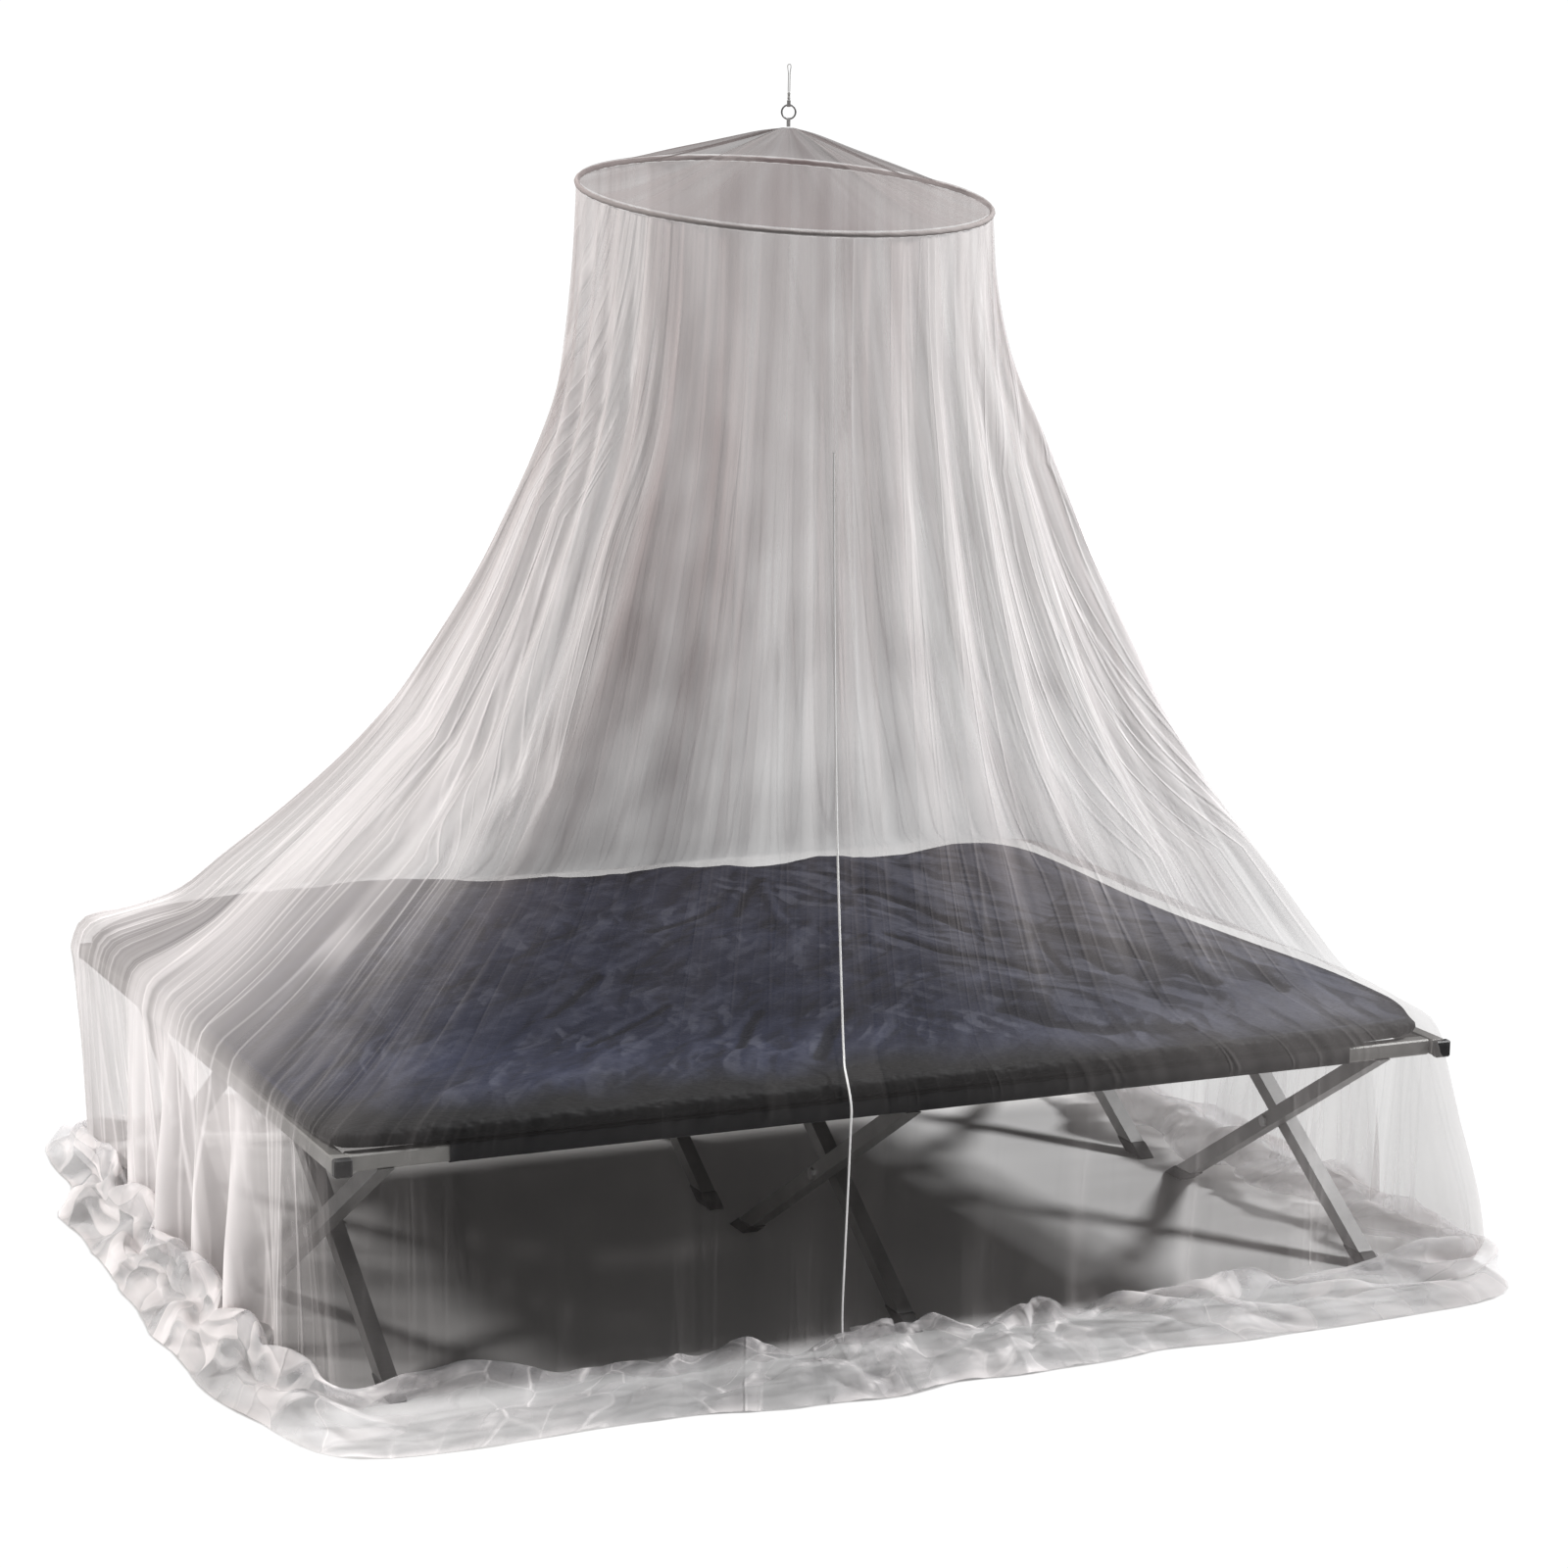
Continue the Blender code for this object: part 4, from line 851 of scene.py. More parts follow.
def casing_finish():
    """The narrow casing of the same net, doubled, so it covers more; thin over the rod at the front."""
    made, shader, start = new_finish("casing_net", 0.85)
    place = start.node("ShaderNodeTexCoord", {}, {}, "Object")
    cover = start.node("ShaderNodeAttribute", {"attribute_name": "cover"}, {}, "Fac")
    puckers = start.noise(place, 120.0, 3.0)
    near = start.split(place, 1).between(0.10, -0.12)
    pale = near.mix((0.42, 0.355, 0.345), (0.33, 0.29, 0.28))
    feed(shader, "Base Color", (puckers * 0.5).mix(pale, (0.42, 0.38, 0.37)))
    feed(shader, "Alpha", cover + puckers * 0.12)
    return made


SLEEVE_STEPS = 560
SLEEVE_SIDES = 14
SLEEVE_MOUTH = math.radians(70)
SLEEVE_COVER = (  # direction in degrees, how much the casing covers
    (0, 0.96), (200, 0.94), (215, 0.80), (228, 0.52), (262, 0.40), (276, 0.75), (290, 0.92), (360, 0.96),
)

sleeve_turns = np.linspace(0, 2 * math.pi, SLEEVE_STEPS, endpoint=False)
sleeve_rows = []
for side in range(SLEEVE_SIDES):
    sleeve_turn = -math.pi / 2 + SLEEVE_MOUTH / 2 + (2 * math.pi - SLEEVE_MOUTH) * side / (SLEEVE_SIDES - 1)
    sleeve_pucker = np.sin(83 * sleeve_turns + side) * np.sin(31 * sleeve_turns + 0.6 * side)
    sleeve_radius = CASING_OUTER + 0.0005 * sleeve_pucker
    sleeve_rows.append(hoop_points(sleeve_turns, HOOP_RADIUS + sleeve_radius * math.cos(sleeve_turn),
                                   sleeve_radius * math.sin(sleeve_turn)))
sleeve_points = np.array(sleeve_rows)
sleeve_cloth = np.zeros((SLEEVE_SIDES, SLEEVE_STEPS + 1, 2))
sleeve_cloth[:, :, 0] = np.linspace(0, 2 * math.pi * HOOP_RADIUS, SLEEVE_STEPS + 1)[None]
sleeve_cloth[:, :, 1] = np.linspace(0, 0.022, SLEEVE_SIDES)[:, None]
sleeve_mesh = cloth_mesh("hoop_sleeve", sleeve_points, {"cloth": sleeve_cloth}, True)
hoop_sleeve = bpy.data.objects.new("hoop_sleeve", sleeve_mesh)
bpy.context.scene.collection.objects.link(hoop_sleeve)
hoop_sleeve.data.materials.append(casing_finish())
sleeve_cover = np.interp(np.degrees(sleeve_turns), *zip(*SLEEVE_COVER))
mark_sheet(hoop_sleeve, "cover", np.broadcast_to(sleeve_cover[None], sleeve_points.shape[:2]))
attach(hoop_sleeve, "root")
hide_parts("hoop_casing")


# --- Net body ----------------------------------------------------------------------------------------
# One wide piece of the same net, sewn to the hoop in fine gathers. It is stretched over the bed's edges,
# hangs to the floor and lies there in a crushed heap, which has a finish of its own. Its upright edges
# overlap at the front as the entrance.
NET_OVER_MATTRESS = 0.007
NET_EDGE = (0.962, 0.726)
NET_SHOULDER = (0.981, 0.753)
NET_FOOT = (0.945, 0.718)
NET_HEM = (1.093, 0.903)
CORNER_SHARPNESS = 60
HEM_SHARPNESS = 9
EDGE_HEIGHT = 0.452
EDGE_HEIGHT_FAR = 0.010
OVERLAP_START = math.radians(259)
OVERLAP = math.radians(5)
OVERLAP_LIFT = 0.0045
HEAP_SIDE = 0.050
HEAP_END = 0.078
HEM_LIFT = 0.001
TENT_SECTIONS = (  # share of the fall, flare on the left, flare on the right, folds
    (0.000, 0.000, 0.000, 0.10), (0.090, 0.002, 0.010, 0.35), (0.180, 0.010, 0.043, 0.65),
    (0.265, 0.026, 0.104, 0.90), (0.345, 0.068, 0.160, 1.00), (0.425, 0.124, 0.215, 1.00),
    (0.510, 0.188, 0.284, 1.00), (0.595, 0.268, 0.354, 0.95), (0.675, 0.350, 0.430, 0.90),
    (0.755, 0.450, 0.520, 0.80), (0.835, 0.576, 0.622, 0.65), (0.905, 0.704, 0.706, 0.50),
    (0.958, 0.800, 0.780, 0.35), (0.992, 0.905, 0.860, 0.20), (1.000, 1.000, 1.000, 0.10),
)
FALL_SECTIONS = (  # share of the way from the shoulder to the foot, height, folds
    (0.00, 0.409, 0.10), (0.06, 0.372, 0.30), (0.35, 0.265, 1.20), (0.70, 0.150, 2.20), (0.90, 0.062, 2.60),
)
FOOT_REACH = (  # direction in degrees, half width in degrees, distance
    (322, 11, 0.062), (337, 10, 0.034), (304, 9, 0.014), (204, 12, 0.020), (246, 10, 0.012),
)
HEAP_SECTIONS = (  # share of the way to the hem, share of the heap's height, share of crumple
    (0.08, 0.35, 0.25), (0.30, 1.00, 0.70), (0.52, 0.55, 0.75), (0.77, 0.40, 0.60), (1.00, 0.00, 0.00),
)
HEM_REACH = (  # direction in degrees, half width in degrees, distance
    (58, 22, 0.0155), (88, 18, -0.005), (112, 20, 0.0115), (134, 11, 0.0492), (149, 12, -0.080),
    (168, 10, -0.020), (196, 12, 0.014), (214, 7, -0.022), (222, 6, 0.016), (240, 9, -0.016),
    (257, 14, 0.028), (276, 10, 0.012), (316, 7, 0.010), (329, 9, -0.014), (345, 12, 0.0105),
    (20, 16, -0.020),
)
MAIN_FOLDS = (  # direction in degrees, half width in degrees, depth
    (6, 7, 0.012), (20, 6, 0.016), (36, 7, 0.020), (50, 7, 0.012), (68, 7, 0.015), (84, 6, 0.011),
    (101, 7, 0.014), (118, 6, 0.012), (134, 6, 0.010), (147, 6, 0.012), (163, 6, 0.018),
    (176, 5, 0.024), (187, 5, 0.022), (198, 5, 0.024), (209, 5, 0.016), (219, 6, 0.018),
    (238, 7, 0.008), (252, 6, 0.007), (274, 6, 0.012), (287, 5, 0.016), (299, 5, 0.018),
    (311, 5, 0.019), (323, 5, 0.024), (336, 5, 0.018), (350, 6, 0.014),
)
NET_COLUMNS = 720
NET_WIDTH = 7.6              # of the cloth along its hem
PLEATS = (  # waves round the net, phase, height, slow turn down the cloth
    (61, 0.4, 0.0012, 1.1), (97, 2.0, 0.0007, -1.7), (139, 4.1, 0.0004, 2.3),
)


ROWS_AT = (0.0, 5.0, 9.0, 12.0, 14.0, 16.0, 19.0, 21.0, 24.0)  # sections that the tables give, hoop to hem
COVER = (  # direction in degrees, then how much the net covers at each of those sections
    (0, 0.30, 0.23, 0.18, 0.18, 0.24, 0.26, 0.30, 0.74, 0.70),
    (20, 0.42, 0.32, 0.24, 0.38, 0.42, 0.22, 0.26, 0.68, 0.66),
    (90, 0.50, 0.62, 0.71, 0.74, 0.64, 0.16, 0.18, 0.34, 0.36),
    (150, 0.42, 0.46, 0.48, 0.44, 0.42, 0.34, 0.34, 0.40, 0.40),
    (176, 0.35, 0.35, 0.31, 0.22, 0.20, 0.44, 0.44, 0.32, 0.30),
    (186, 0.34, 0.34, 0.30, 0.18, 0.15, 0.44, 0.44, 0.32, 0.30),
    (198, 0.34, 0.33, 0.25, 0.10, 0.10, 0.38, 0.40, 0.32, 0.30),
    (206, 0.34, 0.31, 0.18, 0.03, 0.05, 0.26, 0.30, 0.32, 0.30),
    (213, 0.31, 0.27, 0.14, 0.03, 0.05, 0.14, 0.16, 0.32, 0.32),
    (219, 0.28, 0.21, 0.06, 0.01, 0.02, 0.05, 0.07, 0.28, 0.30),
    (224, 0.28, 0.18, 0.04, 0.01, 0.01, 0.02, 0.03, 0.30, 0.30),
    (243, 0.28, 0.18, 0.04, 0.01, 0.01, 0.02, 0.03, 0.32, 0.34),
    (275, 0.28, 0.20, 0.06, 0.03, 0.02, 0.02, 0.03, 0.32, 0.34),
    (290, 0.28, 0.28, 0.20, 0.06, 0.04, 0.08, 0.10, 0.24, 0.24),
    (306, 0.28, 0.30, 0.25, 0.09, 0.10, 0.15, 0.16, 0.32, 0.32),
    (322, 0.28, 0.27, 0.22, 0.10, 0.12, 0.17, 0.18, 0.36, 0.34),
)
# The white of the folds is partly denser net and partly painted light: whiter at the left and the right where
# the lamps fall, low in the middle of the front and the back.
FOLD_WHITE_AND_LIGHT = (  # direction in degrees, then how white the folds are at each of those sections
    (0, 0.60, 0.85, 1.00, 0.95, 0.15, 0.2, 0.3, 0.9, 0.9),
    (25, 0.20, 0.48, 0.58, 0.50, 0.05, 0.1, 0.3, 0.8, 0.8),
    (90, 0.10, 0.12, 0.14, 0.12, 0.03, 0.1, 0.2, 0.5, 0.6),
    (150, 0.40, 0.50, 0.60, 0.65, 0.6, 0.6, 0.6, 0.8, 0.8),
    (176, 0.45, 0.75, 0.78, 1.00, 1.00, 0.9, 0.8, 0.9, 0.9),
    (186, 0.45, 0.78, 0.85, 0.95, 0.95, 0.9, 0.8, 0.9, 0.9),
    (198, 0.45, 0.80, 0.80, 0.55, 0.45, 0.8, 0.7, 0.9, 0.9),
    (206, 0.45, 0.66, 0.66, 0.22, 0.22, 0.7, 0.6, 0.8, 0.8),
    (213, 0.30, 0.50, 0.50, 0.40, 0.38, 0.5, 0.5, 0.75, 0.8),
    (218, 0.22, 0.25, 0.18, 0.16, 0.16, 0.2, 0.2, 0.5, 0.6),
    (224, 0.20, 0.14, 0.04, 0.01, 0.02, 0.03, 0.04, 0.10, 0.12),
    (272, 0.18, 0.18, 0.08, 0.01, 0.02, 0.02, 0.04, 0.25, 0.35),
    (288, 0.40, 0.75, 0.24, 0.00, 0.02, 0.05, 0.1, 0.4, 0.4),
    (306, 0.50, 0.88, 0.45, 0.00, 0.04, 0.10, 0.2, 0.65, 0.65),
    (322, 0.60, 0.90, 0.86, 0.08, 0.06, 0.14, 0.3, 0.85, 0.85),
)


def sheet_table(table, degrees, marks):
    """A table's numbers at every row and column of the net."""
    table = np.array(table)
    once_round = [[360] + [0] * len(ROWS_AT)]
    ring = np.concatenate([table[-1:] - once_round, table, table[:1] + once_round])
    by_section = np.array([
        np.interp(degrees, ring[:, 0], ring[:, 1 + number]) for number in range(len(ROWS_AT))])
    place = np.interp(marks, ROWS_AT, range(len(ROWS_AT)))
    low = np.minimum(place.astype(int), len(ROWS_AT) - 2)
    part = (place - low)[:, None]
    return by_section[low] * (1 - part) + by_section[low + 1] * part


def outlines(direction, half, sharpness):
    """Points of a soft-cornered rectangle in each direction."""
    share_x = np.abs(np.cos(direction)) / half[0]
    share_y = np.abs(np.sin(direction)) / half[1]
    widest = np.maximum(share_x, share_y)
    away = (share_x / widest) ** sharpness + (share_y / widest) ** sharpness
    away = away ** (-1.0 / sharpness) / widest
    return np.stack([np.cos(direction) * away, np.sin(direction) * away, np.zeros_like(away)], -1)


def relief(direction, humps):
    """Sum of rounded humps at each direction."""
    total = np.zeros_like(direction)
    degrees = np.degrees(direction)
    for centre, half_width, height in humps:
        off = np.abs((degrees - centre + 180) % 360 - 180) / half_width
        total += np.where(off < 1, height * np.cos(np.minimum(off, 1) * math.pi / 2) ** 2, 0.0)
    return total


def crumple(direction, section):
    """An uneven share from -1 to 1 for the heap on the floor."""
    first = np.sin(19 * direction + 2.1 * section)
    second = np.sin(31 * direction - 1.3 * section + 0.8)
    third = np.sin(7 * direction + 0.9 * section)
    return 0.45 * first + 0.35 * second + 0.20 * third


def outwards(direction):
    """Level directions away from the middle."""
    return np.stack([np.cos(direction), np.sin(direction), np.zeros_like(direction)], -1)


def net_directions():
    """Directions of the cloth's upright lines, even along the hem and round the corners."""
    dense = np.linspace(OVERLAP_START, OVERLAP_START + 2 * math.pi + OVERLAP, 6000)
    hem = outlines(dense, NET_SHOULDER, 12)
    along = np.concatenate([[0], np.cumsum(np.linalg.norm(np.diff(hem, axis=0), axis=1))])
    even = 0.6 * along / along[-1] + 0.4 * (dense - dense[0]) / (dense[-1] - dense[0])
    return np.interp(np.linspace(0, 1, NET_COLUMNS), even, dense)


def net_rows(direction):
    """The rows of the net from hoop to hem, as the solid has them."""
    out = outwards(direction)
    folds_here = relief(direction, MAIN_FOLDS)
    to_right = (1 + np.cos(direction)) / 2
    rows = []
    for fall, flare_left, flare_right, folds in TENT_SECTIONS:
        hoop = hoop_points(direction, HOOP_RADIUS, -CASING_OUTER - 2 * CLOTH_GAP)
        edge = outlines(direction, NET_EDGE, CORNER_SHARPNESS)
        edge[:, 2] = EDGE_HEIGHT + EDGE_HEIGHT_FAR * np.sin(direction)
        flare = (flare_left + (flare_right - flare_left) * to_right)[:, None]
        place = hoop + (edge - hoop) * flare
        place[:, 2] = hoop[:, 2] + (edge[:, 2] - hoop[:, 2]) * fall
        place += out * (folds_here * folds)[:, None]
        inside = ((place[:, 0] > MATTRESS_LEFT - 0.01) & (place[:, 0] < MATTRESS_RIGHT + 0.01)
                  & (np.abs(place[:, 1]) < MATTRESS_HALF_WIDTH + 0.01))
        above = MATTRESS_FLOOR + mattress_height(place[:, 0], place[:, 1]) + NET_OVER_MATTRESS
        place[:, 2] = np.where(inside, np.maximum(place[:, 2], above), place[:, 2])
        rows.append(place)
    for share, height, folds in FALL_SECTIONS:
        shoulder = outlines(direction, NET_SHOULDER, CORNER_SHARPNESS)
        foot = outlines(direction, NET_FOOT, CORNER_SHARPNESS * (1 - 0.5 * share))
        place = shoulder + (foot - shoulder) * share
        place[:, 2] = height
        rows.append(place + out * (relief(direction, FOOT_REACH) * share + folds_here * folds)[:, None])
    for number, (share, height, rough) in enumerate(HEAP_SECTIONS):
        foot = outlines(direction, NET_FOOT, CORNER_SHARPNESS / 2)
        foot += out * (folds_here * 2.4 * (1 - share) + relief(direction, FOOT_REACH))[:, None]
        hem = outlines(direction, NET_HEM, HEM_SHARPNESS) + out * relief(direction, HEM_REACH)[:, None]
        place = foot + (hem - foot) * share
        heap = HEAP_SIDE + (HEAP_END - HEAP_SIDE) * np.cos(direction) ** 2
        place[:, 2] = HEM_LIFT + heap * np.maximum(0.0, height + rough * 0.5 * crumple(direction, number))
        rows.append(place + out * (0.010 * crumple(direction, number + 3) * share)[:, None])
    return np.array(rows)


HEAP_FROM = 19.15            # the section where the net begins to lie on the floor
HEAP_OVER = 0.010            # how far the cloth is folded over itself in the heap
HEAP_LIFT = 0.005
HEAP_FOLDS = (  # distance between folds round the net and down the cloth, lift, sway
    (0.17, 2.3, 0.034, 0.014), (0.080, 1.2, 0.014, 0.008), (0.038, 0.7, 0.005, 0.004),
)
HEAP_SIZE = (  # direction, share of the lift
    (0, 0.7), (60, 0.7), (130, 0.8), (165, 0.36), (205, 0.34), (222, 0.50), (240, 0.65), (275, 0.75),
    (300, 1.1), (335, 1.1), (350, 0.7), (360, 0.7),
)
# Pale crease lines on the net, partly net doubled in the fold, partly painted highlight:
CREASE_LINES = (  # strength, half width in degrees, then points: direction in degrees and section
    (0.50, 0.50, (
        (204.9, 1.8), (201.5, 2.5), (199.1, 3.2), (197.6, 4.2), (198.6, 5.2), (200.1, 6.2),
        (203.0, 7.2), (209.9, 8.5), (213.1, 9.2))),
    (0.30, 0.60, (
        (207.7, 0.5), (199.6, 1.2), (188.9, 2.2), (177.8, 3.2), (174.6, 4.2), (175.2, 5.2),
        (175.2, 6.2), (176.8, 7.8), (178.9, 9.0), (181.0, 9.8))),
    (0.16, 0.70, (
        (221.7, 0.0), (219.6, 1.0), (216.9, 2.0), (213.6, 3.2), (212.6, 4.5), (211.3, 5.8),
        (212.6, 6.8), (213.6, 7.8), (217.0, 9.3))),
    (0.40, 0.45, ((246.9, 0.2), (250.9, 1.2), (258.6, 3.2))),
    (0.40, 0.45, ((269.3, 0.8), (264.4, 1.8), (259.8, 3.0))),
    (0.18, 0.40, ((287.4, 0.0), (286.8, 0.8), (285.6, 1.8))),
    (0.30, 0.45, ((317.0, 0.2), (309.4, 1.2), (302.7, 3.5), (303.2, 4.8))),
    (0.30, 0.45, ((259.2, 3.0), (260.4, 5.0), (260.6, 7.2))),
    (0.22, 0.60, ((304.7, 3.5), (308.0, 5.2), (311.2, 6.8), (316.7, 8.5))),
    (0.18, 0.60, ((277.3, 3.2), (280.3, 4.5), (283.3, 6.2), (287.4, 8.0))),
    (0.22, 0.35, ((205, 15.0), (201, 16.2), (196, 17.4), (192, 18.8))),
    (0.22, 0.35, ((214, 15.0), (211, 16.3), (207, 17.5), (205, 18.9))),
    (0.16, 0.35, ((196, 15.2), (199, 16.5), (203, 17.6), (205, 18.8))),
    (0.16, 0.30, ((186, 15.0), (190, 16.3), (192, 17.5))),
    (0.20, 0.30, ((217.5, 15.0), (214, 15.8), (211, 17.0), (208.5, 18.5))),
    (0.16, 0.30, ((178, 15.0), (183, 16.5), (186, 18.2))),
)

# Pale arcs, partly net doubled in the fold, partly painted highlight:
CREASE_ARCS = (  # strength, half height in sections, then points: direction in degrees and section
    (0.10, 0.05, ((219, 15.8), (220.4, 16.0), (222.5, 16.8), (226.7, 17.2), (233.9, 17.5), (246.9, 17.5))),
    (0.07, 0.08, ((218.5, 15.6), (221, 16.5), (225, 17.6), (231, 18.3), (240, 18.7))),
    (0.07, 0.05, ((219.5, 15.3), (223, 15.8), (229, 16.3), (237, 16.5))),
    (0.06, 0.06, ((285, 16.9), (294, 16.6), (303, 15.9), (312, 15.3))),
)
NET_TAUT = (  # direction, how straight
    (0, 0.15), (150, 0.15), (168, 0.75), (214, 0.75), (230, 0.15), (360, 0.15),
)
CORNER_AT = 321.5            # the net lies close round the near right corner of the bed
CORNER_WIDE = 13.0
CORNER_IN = (  # section, how far in
    (12.0, 0.0), (13.0, 0.012), (14.0, 0.034), (15.0, 0.030), (16.0, 0.026), (17.0, 0.022),
    (18.0, 0.012), (19.0, 0.004), (20.0, 0.0),
)


HEAP_IN = 0.095              # how far the heap at the right end lies in under the bed
HEAP_IN_AT = ((0, 1.0), (22, 0.9), (42, 0.0), (318, 0.0), (336, 0.9), (360, 1.0))
HEAP_IN_ROWS = ((19.0, 0.0), (19.5, 0.6), (20.2, 1.0), (21.0, 0.7), (22.2, 0.0))


def strand_turns(turns, marks):
    """Where each point's strand of folds passes, as they sweep sideways down the cloth."""
    degrees = np.degrees(turns)[None, :]
    at = degrees % 360
    marks = marks[:, None]

    def hump(centre, before, after):
        off = (at - centre) / np.where(at < centre, before, after)
        return np.where(np.abs(off) < 1, np.cos(np.clip(off, -1, 1) * math.pi / 2) ** 2, 0.0)

    upper = np.clip(1 - marks / 4.5, 0, 1) ** 1.2
    lower = np.clip((marks - 4.5) / 5.0, 0, 1) ** 2
    shift = 36 * hump(186, 60, 38) * upper + 14 * hump(208, 34, 24) * lower
    shift += 12 * hump(318, 34, 34) * np.clip(1 - marks / 3.5, 0, 1) + 9 * hump(318, 36, 36) * lower
    return np.radians(degrees - shift)


def sheet_normals(points):
    """The outward normal at each point of a grid of rows and columns."""
    down = np.gradient(points, axis=0)
    along = np.gradient(points, axis=1)
    normal = np.cross(down, along)
    return normal / np.maximum(np.linalg.norm(normal, axis=-1, keepdims=True), 1e-9)


net_turns = net_directions()
net_fine = [4] * 13 + [3] + [3] + [4] * 4 + [6] + [13, 13, 13, 11]
net_points, net_marks = through_rows(net_rows(net_turns), net_fine)
net_degrees = np.degrees(net_turns) % 360
taut_rows = np.flatnonzero((net_marks >= 8.0) & (net_marks <= 14.0))
taut_part = net_points[taut_rows]
taut_steps = np.linalg.norm(np.diff(taut_part, axis=0), axis=-1)
taut_along = np.concatenate([np.zeros((1, NET_COLUMNS)), np.cumsum(taut_steps, axis=0)])
taut_along = (taut_along / taut_along[-1])[:, :, None]
taut_line = taut_part[:1] * (1 - taut_along) + taut_part[-1:] * taut_along
taut_by = np.interp(net_degrees, *zip(*NET_TAUT))[None, :, None]
net_points[taut_rows] = taut_part + (taut_line - taut_part) * taut_by
corner_off = np.clip(np.abs(net_degrees - CORNER_AT) / CORNER_WIDE, 0, 1)
corner_in = np.cos(corner_off * math.pi / 2) ** 2
corner_rows = np.interp(net_marks, *zip(*CORNER_IN))
net_points -= outwards(net_turns)[None] * (corner_rows[:, None] * corner_in[None, :])[:, :, None]
inward_rows = np.interp(net_marks, *zip(*HEAP_IN_ROWS))
inward = inward_rows[:, None] * np.interp(net_degrees, *zip(*HEAP_IN_AT))[None, :]
net_points -= outwards(net_turns)[None] * (HEAP_IN * inward)[:, :, None]
net_normals = sheet_normals(net_points)
past = net_turns - OVERLAP_START
past_flap = np.clip(1 - (past / OVERLAP - 1.05) / 1.2, 0, 1)
net_lift = np.where(past <= OVERLAP * 1.05, 1.0, past_flap) * OVERLAP_LIFT
net_points += net_normals * net_lift[None, :, None]

tent_share = np.clip(net_marks / 14.0, 0, 1)
pleat_height = np.sin(math.pi * np.clip(tent_share * 0.96 + 0.04, 0, 1)) ** 0.5
below_share = np.clip((net_marks - 15.0) / 5.0, 0, 1)
pleat_height = pleat_height * (1 - tent_share ** 4) + 1.3 * below_share
for waves, phase, height, sweep in PLEATS:
    wave = np.sin(waves * net_turns[None, :] + phase + sweep * net_marks[:, None] * 0.12)
    net_points += net_normals * (height * pleat_height[:, None] * wave)[:, :, None]

heap_share = np.clip((net_marks - 19.2) / 1.2, 0, 1) * np.clip((24.0 - net_marks) / 0.5, 0, 1)
heap_size = np.interp(np.degrees(net_turns) % 360, *zip(*HEAP_SIZE))
heap_strength = heap_share[:, None] * heap_size[None, :]
heap_around = np.broadcast_to(net_turns[None, :] * 1.15, net_points.shape[:2])
heap_down = np.broadcast_to(net_marks[:, None] - 19.0, net_points.shape[:2])
turned_by = 4.0 * soft_noise(heap_around / 0.34, heap_down * 0.15, 6)
turned_by += 1.6 * facets(heap_around / 0.11, heap_down * 0.4, 7)
over = np.sin(2 * math.pi * (0.42 * heap_down + turned_by))
lifted = np.cos(2 * math.pi * (0.42 * heap_down + turned_by))
net_points += outwards(net_turns)[None] * (HEAP_OVER * heap_strength * over)[:, :, None]
net_points[:, :, 2] += HEAP_LIFT * heap_strength * lifted
heap_height = np.zeros(net_points.shape[:2])
for number, (step_around, step_down, lift, sway) in enumerate(HEAP_FOLDS):
    bend = soft_noise(heap_around / (step_around * 2.2), heap_down / (step_down * 2.0), 50 + number) - 0.5
    lean = (0.5 - number) * heap_down * 0.6
    fold_around = heap_around / step_around + 1.2 * bend + lean
    fold = facets(fold_around, heap_down / step_down + 0.8 * bend, 10 + number)
    side = facets(heap_around / step_around + lean, heap_down / step_down, 30 + number) - 0.5
    heap_height += lift * (fold - 0.42)
    net_points += outwards(net_turns)[None] * (sway * heap_strength * side)[:, :, None]
net_points[:, :, 2] += heap_strength * heap_height
net_points[:, :, 2] = np.maximum(net_points[:, :, 2], 0.0006)
# Painted highlights on the heap's convex ridges, and a pale line along the hem.
heap_bend = np.zeros(net_points.shape[:2])
heap_bend[1:-1] += 2 * heap_height[1:-1] - heap_height[:-2] - heap_height[2:]
heap_bend[:, 1:-1] += 2 * heap_height[:, 1:-1] - heap_height[:, :-2] - heap_height[:, 2:]
heap_lines = np.clip(heap_bend / 0.004, 0, 1) * heap_share[:, None]
heap_lines += np.clip((net_marks - 23.75) / 0.2, 0, 1)[:, None] * 0.8

net_creases = np.zeros(net_points.shape[:2])
for strength, half_height, line in CREASE_ARCS:
    line_turns, line_marks = zip(*line)
    off = (net_marks[:, None] - np.interp(net_degrees, line_turns, line_marks)[None, :]) / half_height
    ends = np.clip((net_degrees - line_turns[0]) / 3 + 0.3, 0, 1)
    ends = ends * np.clip((line_turns[-1] - net_degrees) / 6 + 0.2, 0, 1)
    net_creases += strength * np.exp(-off * off) * ends[None, :]
for strength, half_width, line in CREASE_LINES:
    line_turns, line_marks = zip(*line)
    line_at = np.interp(net_marks, line_marks, line_turns)[:, None]
    off = (net_degrees[None, :] - line_at) / half_width
    ends = np.clip((net_marks - line_marks[0]) / 0.5 + 0.5, 0, 1)
    ends = ends * np.clip((line_marks[-1] - net_marks) / 0.8 + 0.2, 0, 1)
    net_creases += strength * np.exp(-off * off) * ends[:, None]

